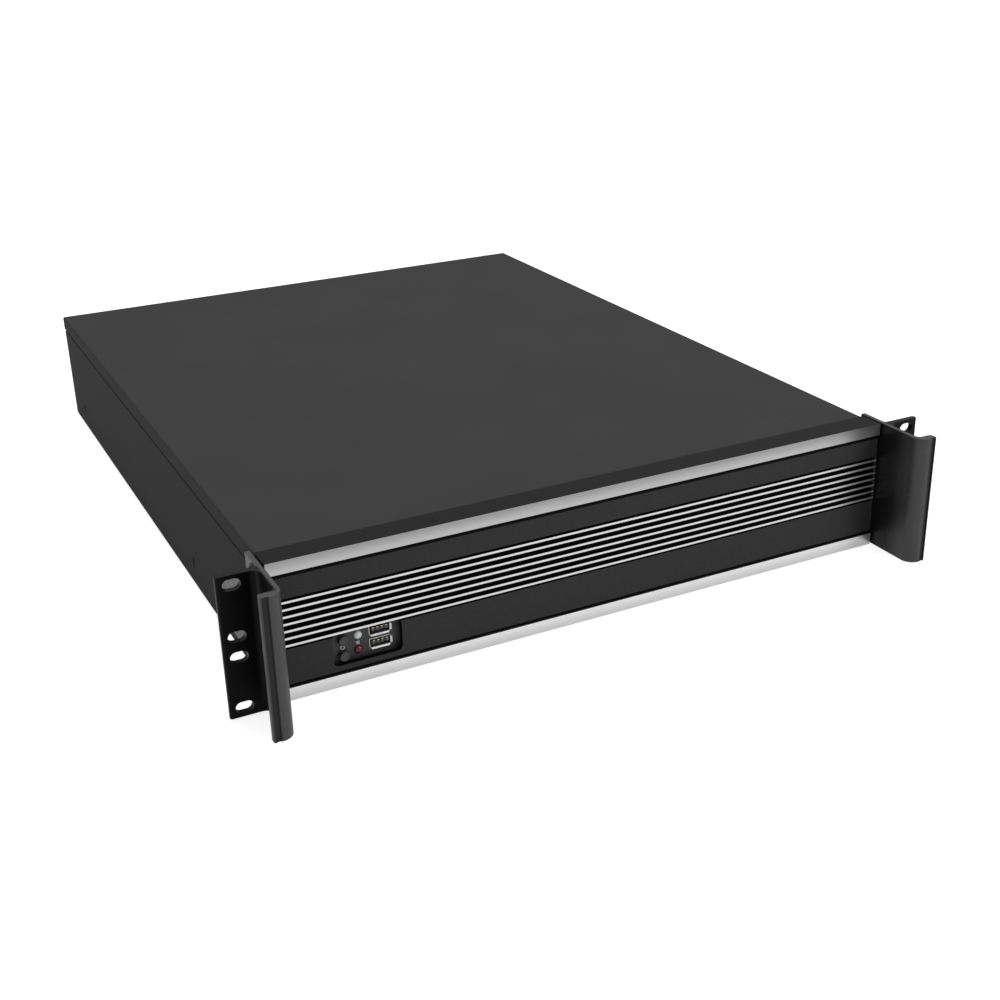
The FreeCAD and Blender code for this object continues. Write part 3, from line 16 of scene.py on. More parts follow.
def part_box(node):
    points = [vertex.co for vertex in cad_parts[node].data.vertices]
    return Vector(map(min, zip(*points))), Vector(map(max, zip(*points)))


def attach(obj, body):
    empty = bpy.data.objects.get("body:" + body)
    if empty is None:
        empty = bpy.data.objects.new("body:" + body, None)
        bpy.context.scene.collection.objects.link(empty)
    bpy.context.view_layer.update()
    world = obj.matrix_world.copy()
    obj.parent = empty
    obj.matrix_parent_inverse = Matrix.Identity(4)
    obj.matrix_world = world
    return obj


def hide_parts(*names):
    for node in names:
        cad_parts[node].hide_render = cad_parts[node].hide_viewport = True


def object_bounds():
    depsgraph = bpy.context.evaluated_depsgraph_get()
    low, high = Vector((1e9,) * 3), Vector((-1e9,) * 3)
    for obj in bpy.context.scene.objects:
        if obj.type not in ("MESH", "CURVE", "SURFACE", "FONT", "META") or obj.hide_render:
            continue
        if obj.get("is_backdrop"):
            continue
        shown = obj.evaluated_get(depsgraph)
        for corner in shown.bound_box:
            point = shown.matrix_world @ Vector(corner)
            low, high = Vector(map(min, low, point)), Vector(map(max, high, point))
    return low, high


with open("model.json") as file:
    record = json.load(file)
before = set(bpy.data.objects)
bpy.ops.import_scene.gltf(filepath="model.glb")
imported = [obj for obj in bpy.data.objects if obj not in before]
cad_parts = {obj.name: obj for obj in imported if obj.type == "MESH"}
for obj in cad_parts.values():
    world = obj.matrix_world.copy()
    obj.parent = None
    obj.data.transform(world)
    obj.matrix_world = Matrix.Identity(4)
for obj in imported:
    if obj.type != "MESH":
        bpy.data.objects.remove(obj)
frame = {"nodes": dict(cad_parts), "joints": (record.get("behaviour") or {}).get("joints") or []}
cad_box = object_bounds()
print("nodes in the frame:", len(frame["nodes"]))
print("box of the construction:", cad_box)

# %% [markdown]
# ## Camera
# The case is seen from a little above its left front corner, near enough that the verticals lean.
# A lens of about 50 mm gives that much perspective. The place was solved from the case's own
# corners.

# %% Camera
CAMERA_PLACE = (-0.40105, -0.67424, 0.42595)
CAMERA_TURN = (66.185, 1.336, -26.801)
camera_data = bpy.data.cameras.new("camera")
camera_data.sensor_width = 36
camera_data.lens = 50.93
camera_data.clip_start = 0.01
camera = bpy.data.objects.new("camera", camera_data)
camera.location = CAMERA_PLACE
camera.rotation_euler = Euler([math.radians(a) for a in CAMERA_TURN])
bpy.context.scene.collection.objects.link(camera)
bpy.context.scene.camera = camera
bpy.context.scene.view_settings.view_transform = "Standard"
print("camera at", CAMERA_PLACE, "lens", round(camera_data.lens, 2), "mm")

# %% [markdown]
# ## Shader sums as plain Python
# A material is easier to read as sums than as a picture of wires. `Sum` wraps one number socket,
# and each operator adds the Math node that it stands for. Colours and vectors go through Mix and
# Vector Math instead, because a Math node would turn a colour grey. `NodeWriter.node` makes any
# other node from its type, its settings and what its sockets get. A finish and the sky are both
# written with it.

# %% Sums on number sockets
class Sum:
    """A number socket of a node tree, with the operators that a finish is written in."""

    def __init__(self, writer, socket):
        self.writer = writer
        self.socket = socket

    def math(self, operation, *values):
        made = self.writer.node("ShaderNodeMath", {"operation": operation}, dict(enumerate(values)))
        return Sum(self.writer, made.outputs[0])

    def __add__(self, other):
        return self.math("ADD", self, other)

    def __sub__(self, other):
        return self.math("SUBTRACT", self, other)

    def __rsub__(self, other):
        return self.math("SUBTRACT", other, self)

    def __mul__(self, other):
        return self.math("MULTIPLY", self, other)

    def __gt__(self, other):
        return self.math("GREATER_THAN", self, other)

    def __lt__(self, other):
        return self.math("LESS_THAN", self, other)

    __radd__ = __add__
    __rmul__ = __mul__

    def __abs__(self):
        return self.math("ABSOLUTE", self)

    def sine(self):
        return self.math("SINE", self)

    def either(self, other):
        """One where either mask is one."""
        return self.math("MAXIMUM", self, other)

    def ease(self, low, high):
        """Zero below low, one above high, and a smooth rise between them."""
        settings = {"interpolation_type": "SMOOTHSTEP"}
        values = {"Value": self, "From Min": low, "From Max": high}
        return Sum(self.writer, self.writer.node("ShaderNodeMapRange", settings, values).outputs[0])


print("sums ready, with", sum(callable(value) for value in vars(Sum).values()), "methods")

# %% A writer of nodes
class NodeWriter:
    """Adds nodes to one tree, of a finish or of the sky."""

    def __init__(self, tree):
        self.tree = tree

    def node(self, kind, settings=None, values=None):
        """Any node: its type, its settings, and the values or links of its sockets."""
        made = self.tree.nodes.new(kind)
        for setting, value in (settings or {}).items():
            setattr(made, setting, value)
        for socket, value in (values or {}).items():
            self.feed(made.inputs[socket], value)
        return made

    def feed(self, socket, value):
        """Sets a socket to a value, or links it to a sum or to another socket."""
        if isinstance(value, Sum):
            value = value.socket
        if isinstance(value, bpy.types.NodeSocket):
            self.tree.links.new(value, socket)
        else:
            socket.default_value = value

    def rays(self, *kinds):
        """For each kind of ray, a sum that is one on rays of that kind and zero on others."""
        path = self.node("ShaderNodeLightPath")
        return [Sum(self, path.outputs["Is %s Ray" % kind]) for kind in kinds]


print("node writer ready")

# %% The finish of a surface
class Finish(NodeWriter):
    """One material: its Principled shader, the nodes that vary it, and the sums that join them."""

    def __init__(self, name, roughness, metallic=0.0, **constants):
        self.material = bpy.data.materials.new(name)
        self.material.use_nodes = True
        super().__init__(self.material.node_tree)
        self.shader = self.tree.nodes["Principled BSDF"]
        self.shader.inputs["Roughness"].default_value = roughness
        self.shader.inputs["Metallic"].default_value = metallic
        for socket, value in constants.items():
            self.shader.inputs[socket.replace("_", " ")].default_value = value
        self.place = self.node("ShaderNodeTexCoord").outputs["Object"]

    def along(self):
        """The X, Y and Z of a point on the piece, as three sums."""
        split = self.node("ShaderNodeSeparateXYZ", None, {0: self.place})
        return [Sum(self, output) for output in split.outputs]

    def facing(self):
        """How far the surface looks along X, Y and Z."""
        normal = self.node("ShaderNodeNewGeometry").outputs["True Normal"]
        split = self.node("ShaderNodeSeparateXYZ", None, {0: normal})
        return [Sum(self, output) for output in split.outputs]

    def stretched(self, stretch):
        values = {0: self.place, 1: stretch}
        return self.node("ShaderNodeVectorMath", {"operation": "MULTIPLY"}, values).outputs[0]

    def noise(self, scale, detail, stretch=None):
        place = self.stretched(stretch) if stretch else self.place
        values = {"Vector": place, "Scale": scale, "Detail": detail}
        return Sum(self, self.node("ShaderNodeTexNoise", None, values).outputs["Fac"])

    def cells(self, scale):
        """One random number for each cell of a Voronoi pattern."""
        made = self.node("ShaderNodeTexVoronoi", None, {"Vector": self.place, "Scale": scale})
        split = self.node("ShaderNodeSeparateColor", None, {0: made.outputs["Color"]})
        return Sum(self, split.outputs[0])

    def blend(self, mask, low, high):
        """Colour low where the mask is zero and high where it is one."""
        values = {0: mask, 6: self.colour(low), 7: self.colour(high)}
        return self.node("ShaderNodeMix", {"data_type": "RGBA"}, values).outputs[2]

    @staticmethod
    def colour(value):
        """A colour with its alpha, where three plain numbers are given."""
        return (*value, 1.0) if isinstance(value, tuple) and len(value) == 3 else value

    def bump(self, height, depth, strength):
        """A normal that leans with the slope of a height, whose full range is depth metres."""
        values = {"Strength": strength, "Distance": depth, "Height": height}
        return self.node("ShaderNodeBump", None, values).outputs["Normal"]

    def wear(self, **sockets):
        """Feeds the varying sockets of the shader, and gives back the material."""
        for socket, value in sockets.items():
            self.feed(self.shader.inputs[socket.replace("_", " ")], self.colour(value))
        return self.material


finishes = {}
print("finish writer ready")

# %% [markdown]
# ## Black powder coat
# The shell is steel sheet under a satin black powder coat. Powder melts into a fine dimpled skin,
# so the coat has a small bump, a slight change of shade from place to place, and a roughness that
# follows the dimples.

# %% Case paint
def grey(level):
    """The linear value of a grey that is written 0 to 255 on a screen."""
    part = level / 255
    return part / 12.92 if part <= 0.04045 else ((part + 0.055) / 1.055) ** 2.4


def tone(red, green, blue):
    """The linear colour of screen values."""
    return (grey(red), grey(green), grey(blue))


def case_paint():
    paint = Finish("case_paint", roughness=0.7, Specular_IOR_Level=0.03)
    skin = paint.noise(900, 2)
    cloud = paint.noise(14, 2)
    shade = (skin * 0.6 + cloud * 0.4).ease(0.3, 0.7)
    colour = paint.blend(shade, tone(64, 64, 65), tone(68, 68, 69))
    return paint.wear(Base_Color=colour, Roughness=skin * 0.16 + 0.62,
                      Normal=paint.bump(skin, 0.00006, 0.5))


finishes["case_paint"] = case_paint()
print("case paint:", len(finishes["case_paint"].node_tree.nodes), "nodes")

# %% [markdown]
# ## Anodised extrusions
# Panel and handles are aluminium extrusions with a black anodised skin, fine-grained from the
# blasting before the bath. The panel's two bands and the tops of its ridges were milled after
# that, so they show bare, brushed metal. The bare places are told from the black by where they
# lie, so one finish covers the whole panel without a seam.

# %% Front panel finish
PANEL_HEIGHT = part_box("front_panel")[1].z
BAND = 0.008
RIDGE_TOP_Y = 0.00055
RIDGE_LOW, RIDGE_HIGH = 0.0335, 0.0627
MILLED_Y = 0.0
GROOVE_Y, GROOVE_END_Y = 0.0009, 0.004
# Heights of the painted shade below the top band and above the lower band.
BAND_SHADE_HIGH, BAND_SHADE_LOW = 0.0028, 0.0017
TOP_SKIN = 0.0005
LOOKS_AHEAD = -0.2


def front_anodised():
    panel = Finish("front_anodised", roughness=0.45, Specular_IOR_Level=0.08)
    y, z = panel.along()[1:]
    ahead = panel.facing()[1] < LOOKS_AHEAD
    band = (z < BAND).either(z > PANEL_HEIGHT - BAND) * (y < MILLED_Y) * ahead
    ridge = (z > RIDGE_LOW) * (z < RIDGE_HIGH) * (y < RIDGE_TOP_Y) * ahead
    bare = band.either(ridge)
    top = z > PANEL_HEIGHT - TOP_SKIN
    # Painted shade: near black strips on the front, below the top band and above the lower band.
    corner = (z > PANEL_HEIGHT - BAND - BAND_SHADE_HIGH).either(z < BAND + BAND_SHADE_LOW) * ahead
    # Painted shade: surfaces set back between about 0.6 and 4 mm, such as the groove floors, go
    # near black with those strips, except on the top face.
    groove_and_band_shade = (y.ease(RIDGE_TOP_Y, GROOVE_Y) * (y < GROOVE_END_Y)).either(corner) * (1 - top)
    grain = panel.noise(2600, 2)
    fleck = panel.cells(1500).ease(0.88, 0.99)
    skin = panel.blend(grain.ease(0.3, 0.75), tone(54, 54, 55), tone(63, 63, 64))
    flecked = panel.blend(fleck * 0.14, skin, tone(92, 92, 94))
    # Painted shade: the top face behind the upper band is painted much darker than the rest of the
    # skin.
    shaded_top = panel.blend(top, flecked, tone(24, 24, 25))
    # The painted shade is laid over the skin here, at tone 6.
    black = panel.blend(groove_and_band_shade, shaded_top, tone(6, 6, 6))
    brushed = panel.noise(900, 2, stretch=(0.02, 1, 4))
    # Painted reflection: the bare metal gets a grey for each part. The upper band is darkest and
    # runs lighter to its foot, the ridges are light, and the lower band is lightest and runs
    # lighter to its top.
    band_sheen_ramp = z.ease(PANEL_HEIGHT, PANEL_HEIGHT - BAND)
    upper = panel.blend(band_sheen_ramp, tone(146, 146, 147), tone(188, 188, 188))
    milled = panel.blend(brushed.ease(0.25, 0.75) * 0.3, upper, tone(200, 200, 200))
    lower = panel.blend(z.ease(0, BAND), tone(214, 214, 214), tone(244, 244, 244))
    metal = panel.blend(z < BAND, panel.blend(ridge, milled, tone(226, 226, 226)), lower)
    rough = (grain * 0.2 + 0.4 + groove_and_band_shade * 0.3) * (1 - bare) + (brushed * 0.08 + 0.27) * bare
    height = grain * (1 - bare) + brushed * bare * 0.3
    return panel.wear(Base_Color=panel.blend(bare, black, metal), Metallic=bare * 0.9,
                      Roughness=rough, Normal=panel.bump(height, 0.00003, 0.5))


finishes["front_anodised"] = front_anodised()
print("bare bands are", BAND * 1000, "mm high")

# %% [markdown]
# The handles get the same skin, a little darker. Four places that the light hardly reaches get
# painted shade, near black and nearly metallic: the flute of the grip, the inner side of the web,
# the palm and the face of the ear. Left and right mirror each other, so the masks work on the
# distance from the middle, whatever its sign.

# %% Handle finish
SOFT = 0.0004
FLUTE_NEAR, FLUTE_FAR, FLUTE_Y = 0.2228, 0.2264, -0.0373
WEB_INSIDE, WEB_OUTSIDE, WEB_SOFT = 0.2143, 0.2165, 0.0005
WEB_DARK, WEB_LIGHT = -0.012, -0.030
PALM_DARK, PALM_LIGHT = -0.0315, -0.0340
EAR_DARK, EAR_LIGHT = -0.0050, -0.0075


def grip_anodised():
    grip = Finish("grip_anodised", roughness=0.4, Specular_IOR_Level=0.55)
    x, y = grip.along()[:2]
    out = abs(x)
    grain = grip.noise(2200, 2)
    fleck = grip.cells(1300).ease(0.86, 0.99)
    drawn = grip.noise(160, 2, stretch=(6, 6, 0.05))
    # Masks of the places that get painted shade, soft at their edges.
    flute = out.ease(FLUTE_NEAR - SOFT, FLUTE_NEAR) * (1 - out.ease(FLUTE_FAR, FLUTE_FAR + SOFT))
    flute = flute * (y < FLUTE_Y)
    inner = (1 - out.ease(WEB_INSIDE, WEB_INSIDE + WEB_SOFT)) * y.ease(WEB_LIGHT, WEB_DARK)
    outside = (out > WEB_OUTSIDE) * (y < 0.0)
    palm = outside * y.ease(PALM_LIGHT, PALM_DARK)
    face = outside * y.ease(EAR_LIGHT, EAR_DARK)
    # Painted shade: near black and nearly metallic in the flute, inside the web, in the palm and on
    # the ear's face.
    painted_shade = (flute * 0.65).either(inner * 0.7).either(palm * 0.8).either(face * 0.97)
    shade = (grain * 0.7 + drawn * 0.3).ease(0.3, 0.7)
    skin = grip.blend(shade, tone(44, 44, 45), tone(58, 58, 59))
    flecked = grip.blend(fleck * 0.16, skin, tone(98, 98, 100))
    colour = grip.blend(painted_shade, flecked, tone(10, 10, 10))
    return grip.wear(Base_Color=colour, Metallic=painted_shade * 0.9, Roughness=grain * 0.2 + 0.34,
                     Normal=grip.bump(grain, 0.00006, 0.6))


finishes["grip_anodised"] = grip_anodised()
print("handles share one finish, left and right")

# %% [markdown]
# ## Plain metals
# Inner sheets are galvanised steel: zinc freezes in flat crystals, each of which throws the light
# its own way. Screws are zinc plated or blackened, standoffs are turned brass and the cover's
# thumbscrews are nickel plated.

# %% Zinc sheet, plated steel, brass
def zinc_sheet():
    zinc = Finish("zinc_sheet", roughness=0.4, metallic=0.9)
    spangle = zinc.cells(260)
    fine = zinc.noise(500, 3)
    shade = (spangle * 0.6 + fine * 0.4).ease(0.1, 0.9)
    colour = zinc.blend(shade, tone(158, 161, 164), tone(182, 185, 188))
    return zinc.wear(Base_Color=colour, Roughness=spangle * 0.1 + fine * 0.08 + 0.33,
                     Normal=zinc.bump(spangle, 0.00001, 0.3))


def plated(name, dark, light, roughness, metallic):
    metal = Finish(name, roughness=roughness, metallic=metallic)
    turned = metal.noise(1800, 2)
    colour = metal.blend(turned.ease(0.3, 0.7), dark, light)
    return metal.wear(Base_Color=colour, Roughness=turned * 0.14 + (roughness - 0.07),
                      Normal=metal.bump(turned, 0.00002, 0.4))


def shaded_zinc():
    """The same sheet painted a darker grey, as painted shade, for the brackets outside the case."""
    zinc = Finish("shaded_zinc", roughness=0.5, metallic=0.7)
    spangle = zinc.cells(190)
    fine = zinc.noise(500, 3)
    shade = (spangle * 0.5 + fine * 0.5).ease(0.2, 0.8)
    colour = zinc.blend(shade, tone(96, 97, 99), tone(112, 113, 115))
    return zinc.wear(Base_Color=colour, Roughness=fine * 0.15 + 0.45,
                     Normal=zinc.bump(fine, 0.00002, 0.35))


finishes["zinc_sheet"] = zinc_sheet()
finishes["shaded_zinc"] = shaded_zinc()
for name, dark, light, roughness, metallic in (
        ("screw_steel", tone(176, 178, 180), tone(206, 207, 208), 0.3, 0.95),
        ("thumb_steel", tone(188, 188, 186), tone(214, 214, 212), 0.26, 0.95),
        ("socket_metal", tone(190, 190, 190), tone(220, 220, 220), 0.3, 0.95),
        ("standoff_brass", tone(186, 148, 84), tone(214, 178, 108), 0.3, 0.95),
        ("black_screw", tone(30, 30, 31), tone(44, 44, 45), 0.38, 0.3)):
    finishes[name] = plated(name, dark, light, roughness, metallic)
print("finishes so far:", sorted(finishes))

# %% [markdown]
# ## Moulded plastics and the circuit board
# Moulded parts carry the fine spark-eroded texture of their mould. The lamps are dyed clear
# plastic, and the board is glass cloth in resin under a green mask, with its weave just showing.

# %% Plastics
def moulded(name, dark, light, roughness, texture, depth):
    plastic = Finish(name, roughness=roughness)
    pitted = plastic.noise(texture, 2)
    colour = plastic.blend(pitted.ease(0.3, 0.7), dark, light)
    return plastic.wear(Base_Color=colour, Roughness=pitted * 0.16 + (roughness - 0.08),
                        Normal=plastic.bump(pitted, depth, 0.5))


SPARK_DEEP, CLEAR_DEEP = 0.00004, 0.00001
for name, dark, light, roughness, texture, depth in (
        ("plate_plastic", tone(40, 40, 41), tone(50, 50, 51), 0.5, 1400, SPARK_DEEP),
        ("button_plastic", tone(48, 48, 49), tone(58, 58, 59), 0.42, 1400, SPARK_DEEP),
        ("switch_plastic", tone(34, 34, 35), tone(44, 44, 45), 0.45, 1400, SPARK_DEEP),
        ("fan_plastic", tone(24, 24, 25), tone(32, 32, 33), 0.42, 900, SPARK_DEEP),
        ("rotor_plastic", tone(28, 28, 29), tone(36, 36, 37), 0.36, 700, SPARK_DEEP),
        ("tongue_plastic", tone(30, 30, 31), tone(38, 38, 39), 0.4, 1400, SPARK_DEEP),
        ("lamp_white", tone(222, 226, 224), tone(238, 240, 238), 0.22, 300, CLEAR_DEEP),
        ("lamp_red", tone(84, 6, 22), tone(118, 12, 34), 0.16, 300, CLEAR_DEEP)):
    finishes[name] = moulded(name, dark, light, roughness, texture, depth)
print("plastics made:", [name for name in finishes if name.endswith("_plastic")])

# %% Circuit board laminate
WEAVE = 2600


def board_laminate():
    board = Finish("board_laminate", roughness=0.35)
    x, z = board.along()[::2]
    weave = (x * WEAVE).sine() * (z * WEAVE).sine()
    cloth = board.noise(60, 3)
    shade = (weave * 0.12 + cloth).ease(0.3, 0.8)
    colour = board.blend(shade, tone(18, 58, 38), tone(26, 78, 50))
    return board.wear(Base_Color=colour, Roughness=cloth * 0.15 + 0.28,
                      Normal=board.bump(weave, 0.00001, 0.4))


finishes["board_laminate"] = board_laminate()
print("all finishes:", len(finishes))

# %% [markdown]
# ## Dressing the construction
# Every face of the construction already names its finish by slot, so one loop dresses all the
# nodes. Only the brackets behind the ears differ: they sit outside the case and get a darker copy
# of the zinc, which is painted shade.

# %% Finishes on the nodes
for name, part in sorted(frame["nodes"].items()):
    outside = name.startswith("ear_bracket")
    for place in part.material_slots:
        # Painted shade: the brackets behind the ears take the darker copy of the zinc.
        wanted = "shaded_zinc" if outside else place.material.name.split(".")[0]
        place.material = finishes[wanted]
print("dressed:", len(frame["nodes"]), "nodes")

# %% [markdown]
# ## Small pieces modelled again
# The frame's screws have plain heads, which is right for fitting and too plain for looking at.
# Such small pieces are made again here as meshes. Modifiers could do it too, but nearly all of
# them are rings of corners with faces between, so a few helpers cover them. Each new piece rides
# on the body of the old one and names the node that it stands for, which is then left out.

# %% Pieces in place of nodes
def link(name, mesh, finish, body, slot, *nodes):
    """Makes an object of a mesh, and rides it on a body in place of the nodes."""
    piece = bpy.data.objects.new(name, mesh)
    bpy.context.scene.collection.objects.link(piece)
    mesh.materials.append(finishes[finish])
    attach(piece, body)
    if nodes:
        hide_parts(*nodes)
    return piece


def mesh_of(name, build, smooth_angle=40):
    """A mesh from a function that fills a bmesh, with soft shading below the angle."""
    shape = bmesh.new()
    build(shape)
    bmesh.ops.recalc_face_normals(shape, faces=shape.faces)
    mesh = bpy.data.meshes.new(name)
    shape.to_mesh(mesh)
    shape.free()
    for face in mesh.polygons:
        face.use_smooth = True
    mesh.set_sharp_from_angle(angle=math.radians(smooth_angle))
    return mesh


print("pieces can be linked, with", len(finishes), "finishes to choose from")

# %% Rings of corners
def round_spots(radius, steps):
    """Points (x, y) evenly round a circle, or the middle alone where the radius is nothing."""
    angles = [2 * math.pi * i / steps for i in range(steps if radius > 0 else 1)]
    return [(radius * math.cos(a), radius * math.sin(a)) for a in angles]


def corner_ring(shape, to_place, spots):
    """Corners at points (x, y, z), put in place."""
    return [shape.verts.new(to_place @ Vector(spot)) for spot in spots]


def bridge(shape, low, high):
    """A belt of faces between two rings, either of which may be a single corner."""
    steps = max(len(low), len(high))
    for i in range(steps):
        j = (i + 1) % steps
        corners = [low[i % len(low)], low[j % len(low)], high[j % len(high)], high[i % len(high)]]
        shape.faces.new(list(dict.fromkeys(corners)))


def carried_on(shape, to_place, ring, profile, steps=48):
    """Carries a ring through a profile of (radius, height), and gives back the last ring."""
    for radius, height in profile:
        spots = [(x, y, height) for x, y in round_spots(radius, steps)]
        following = corner_ring(shape, to_place, spots)
        bridge(shape, ring, following)
        ring = following
    return ring


print("ring helpers ready")

# %% [markdown]
# ## Where the fasteners stand
# A group of fasteners is one node with several separate solids. Each solid is found by following
# its edges from corner to corner. A fastener is as wide as it is deep across its axis, so its axis
# is the direction whose other two sides are most alike, and its head is at the end where it is
# widest.

# %% The fasteners of a group
def solids_of(node):
    """The corners of each separate solid in a node, left to right."""
    mesh = frame["nodes"][node].data
    group = list(range(len(mesh.vertices)))

    def leader(i):
        while group[i] != i:
            group[i] = group[group[i]]
            i = group[i]
        return i

    near = {}
    for vertex in mesh.vertices:
        key = tuple(round(value, 6) for value in vertex.co)
        group[leader(vertex.index)] = leader(near.setdefault(key, vertex.index))
    for edge in mesh.edges:
        group[leader(edge.vertices[0])] = leader(edge.vertices[1])
    solids = {}
    for vertex in mesh.vertices:
        solids.setdefault(leader(vertex.index), []).append(vertex.co.copy())
    return sorted(solids.values(), key=lambda corners: min(c.x for c in corners))


NEARLY_WIDEST = 0.48


def head_of(corners):
    """A place with the head's top at zero and looking up Z, then its radius, height and length."""
    low = Vector([min(c[i] for c in corners) for i in range(3)])
    high = Vector([max(c[i] for c in corners) for i in range(3)])
    spans = high - low
    uneven = [abs(spans[(i + 1) % 3] - spans[(i + 2) % 3]) for i in range(3)]
    along = uneven.index(min(uneven))
    across = spans[(along + 1) % 3]
    middle = (low + high) / 2
    reaches = {}
    for corner in corners:
        out = corner - middle
        out[along] = 0
        reaches.setdefault(round(corner[along], 6), []).append(out.length)
    widest = [height for height, reach in reaches.items() if max(reach) > across * NEARLY_WIDEST]
    sign = 1 if sum(widest) / len(widest) > middle[along] else -1
    way = Vector((0, 0, 0))
    way[along] = sign
    top = middle.copy()
    top[along] = high[along] if sign > 0 else low[along]
    to_place = Matrix.Translation(top) @ way.to_track_quat("Z", "Y").to_matrix().to_4x4()
    return to_place, across / 2, max(widest) - min(widest), spans[along]


for node in ("leg_screws", "cover_screws"):
    radius, height, length = [round(size * 1000, 2) for size in head_of(solids_of(node)[0])[1:]]
    print(node, "radius", radius, "mm, head", height, "mm high,", length, "mm long")

# %% [markdown]
# ## Pan heads with a cross recess
# The top of a screw head is a low crown with a cross pressed into it. A grid of rings and spokes
# can sink where the cross is, which needs no cutting, keeps the faces even, and gives the recess
# the soft rim that pressing leaves.

# %% A crowned top with its cross
CROWN_CURVE = 1.5
ARM_SHARE = 0.2
RECESS_WALL = 2.2


def crossed_top(shape, to_place, radius, crown, cross, depth, steps=48, rings=12):
    """A crowned disc about Z, highest at Z = 0, with a cross recess; gives back its rim."""
    arm = cross * ARM_SHARE

    def height(x, y):
        flat = -crown * ((x * x + y * y) / (radius * radius)) ** CROWN_CURVE
        upright = min((arm - abs(x)) / arm, (cross - abs(y)) / arm)
        level = min((arm - abs(y)) / arm, (cross - abs(x)) / arm)
        return flat - depth * min(max(max(upright, level) * RECESS_WALL, 0), 1)

    last = corner_ring(shape, to_place, [(0, 0, -depth)])
    for ring in range(1, rings + 1):
        spots = [(x, y, height(x, y)) for x, y in round_spots(radius * ring / rings, steps)]
        now = corner_ring(shape, to_place, spots)
        bridge(shape, last, now)
        last = now
    return last


print("cross arms are", ARM_SHARE * 2, "of their reach in width")

# %% Screws
CROWN_SHARE, EDGE_SHARE = 0.35, 0.97
CROSS_SHARE, RECESS_SHARE = 0.52, 0.55
SHOULDER_SHARE, BREAK_SHARE = 0.12, 0.96
POINT_SHARE = 0.5


def screw_shape(shape, corners, shank):
    to_place, radius, height, length = head_of(corners)
    crown, edge, point = height * CROWN_SHARE, radius * EDGE_SHARE, shank * POINT_SHARE
    rim = crossed_top(shape, to_place, edge, crown, radius * CROSS_SHARE, height * RECESS_SHARE)
    end = carried_on(shape, to_place, rim, [
        (radius, -crown - height * SHOULDER_SHARE), (radius, -height * BREAK_SHARE),
        (edge, -height), (shank, -height), (shank, -length + point), (point, -length)])
    shape.faces.new(end[::-1])


def screws(node, finish, shank):
    def fill(shape):
        for corners in solids_of(node):
            screw_shape(shape, corners, shank)

    name = node + "_crossed"
    return link(name, mesh_of(name, fill, 32), finish, "case", finish, node)


for node, finish, shank in (("leg_screws", "black_screw", 0.0015),
                            ("ear_screws", "black_screw", 0.0015),
                            ("slot_screws", "screw_steel", 0.0015),
                            ("control_screws", "screw_steel", 0.0015),
                            ("board_screws", "screw_steel", 0.001),
                            ("fan_screws", "screw_steel", 0.0015)):
    made = screws(node, finish, shank)
    print(node, "as", made.name, "with", len(made.data.polygons), "faces")

# %% [markdown]
# ## Thumbscrews
# The cover is held from behind by screws with large heads that fingers can turn. Their rim is
# knurled, a row of fine grooves rolled into the metal, and the face takes a driver too. The
# grooves are a ripple of the rim's radius.

# %% Thumbscrews with a knurled rim
KNURLS = 36
KNURL_DEEP, KNURL_END = 0.0003, 0.0043
PLAIN_SHARE, COLLAR_SHARE = 0.955, 0.7
THUMB_FACE, THUMB_CROWN = 0.86, 0.0001
THUMB_CROSS, THUMB_RECESS = 0.42, 0.0011
SHANK, POINT = 0.0015, 0.0006


def knurled_spots(radius, ripple, depth, steps):
    """Points round a rim whose radius dips by the ripple once in each groove."""
    angles = [2 * math.pi * i / steps for i in range(steps)]
    reaches = [radius - ripple * (1 - math.cos(a * KNURLS)) / 2 for a in angles]
    return [(reach * math.cos(a), reach * math.sin(a), -depth) for a, reach in zip(angles, reaches)]


def thumb_shape(shape, corners):
    to_place, radius, height, length = head_of(corners)
    steps, plain, collar = KNURLS * 4, radius * PLAIN_SHARE, radius * COLLAR_SHARE
    rim = crossed_top(shape, to_place, radius * THUMB_FACE, THUMB_CROWN, radius * THUMB_CROSS,
                      THUMB_RECESS, steps, 10)
    for reach, ripple, depth in ((plain, 0, 0.0005), (radius, KNURL_DEEP, 0.0007),
                                 (radius, KNURL_DEEP, 0.0041), (plain, 0, KNURL_END)):
        ring = corner_ring(shape, to_place, knurled_spots(reach, ripple, depth, steps))
        bridge(shape, rim, ring)
        rim = ring
    end = carried_on(shape, to_place, rim, [
        (collar, -KNURL_END), (collar, -height), (SHANK, -height), (SHANK, -length + POINT),
        (SHANK * POINT_SHARE, -length)], steps)
    shape.faces.new(end[::-1])


def thumbs(shape):
    for corners in solids_of("cover_screws"):
        thumb_shape(shape, corners)


link("cover_screws_knurled", mesh_of("cover_screws_knurled", thumbs, 30), "thumb_steel", "lid",
     "thumb_steel", "cover_screws")
print("thumbscrews:", len(solids_of("cover_screws")), "with", KNURLS, "grooves each")

# %% [markdown]
# ## Push buttons and lamps
# A button is a turned plastic cap, slightly dished for a fingertip, with a flange behind the plate
# that keeps it in. A lamp is a clear dome with a rim and two leads. Both are turned about the Y
# axis from the box of the node that they stand for, so their profiles start and end on that axis.

# %% Buttons
PLATE_THICK = 0.0015
PLATE_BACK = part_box("control_plate")[0].y + PLATE_THICK
BUTTON_RADIUS, STEM_RADIUS = 0.003, 0.0014
FLANGE_RADIUS, FLANGE_NEAR, FLANGE_BACK = 0.0041, 0.0002, 0.0010
DISH = [(0, -0.00028), (0.0010, -0.00026), (0.0018, -0.00016), (0.0023, -0.00003), (0.0025, 0),
        (0.0028, -0.00012), (BUTTON_RADIUS, -0.0004)]


def forward_place(middle):
    """A place with its zero at the middle and Z along -Y, so that height grows to the front."""
    return Matrix.Translation(middle) @ Matrix.Rotation(math.radians(90), 4, "X")


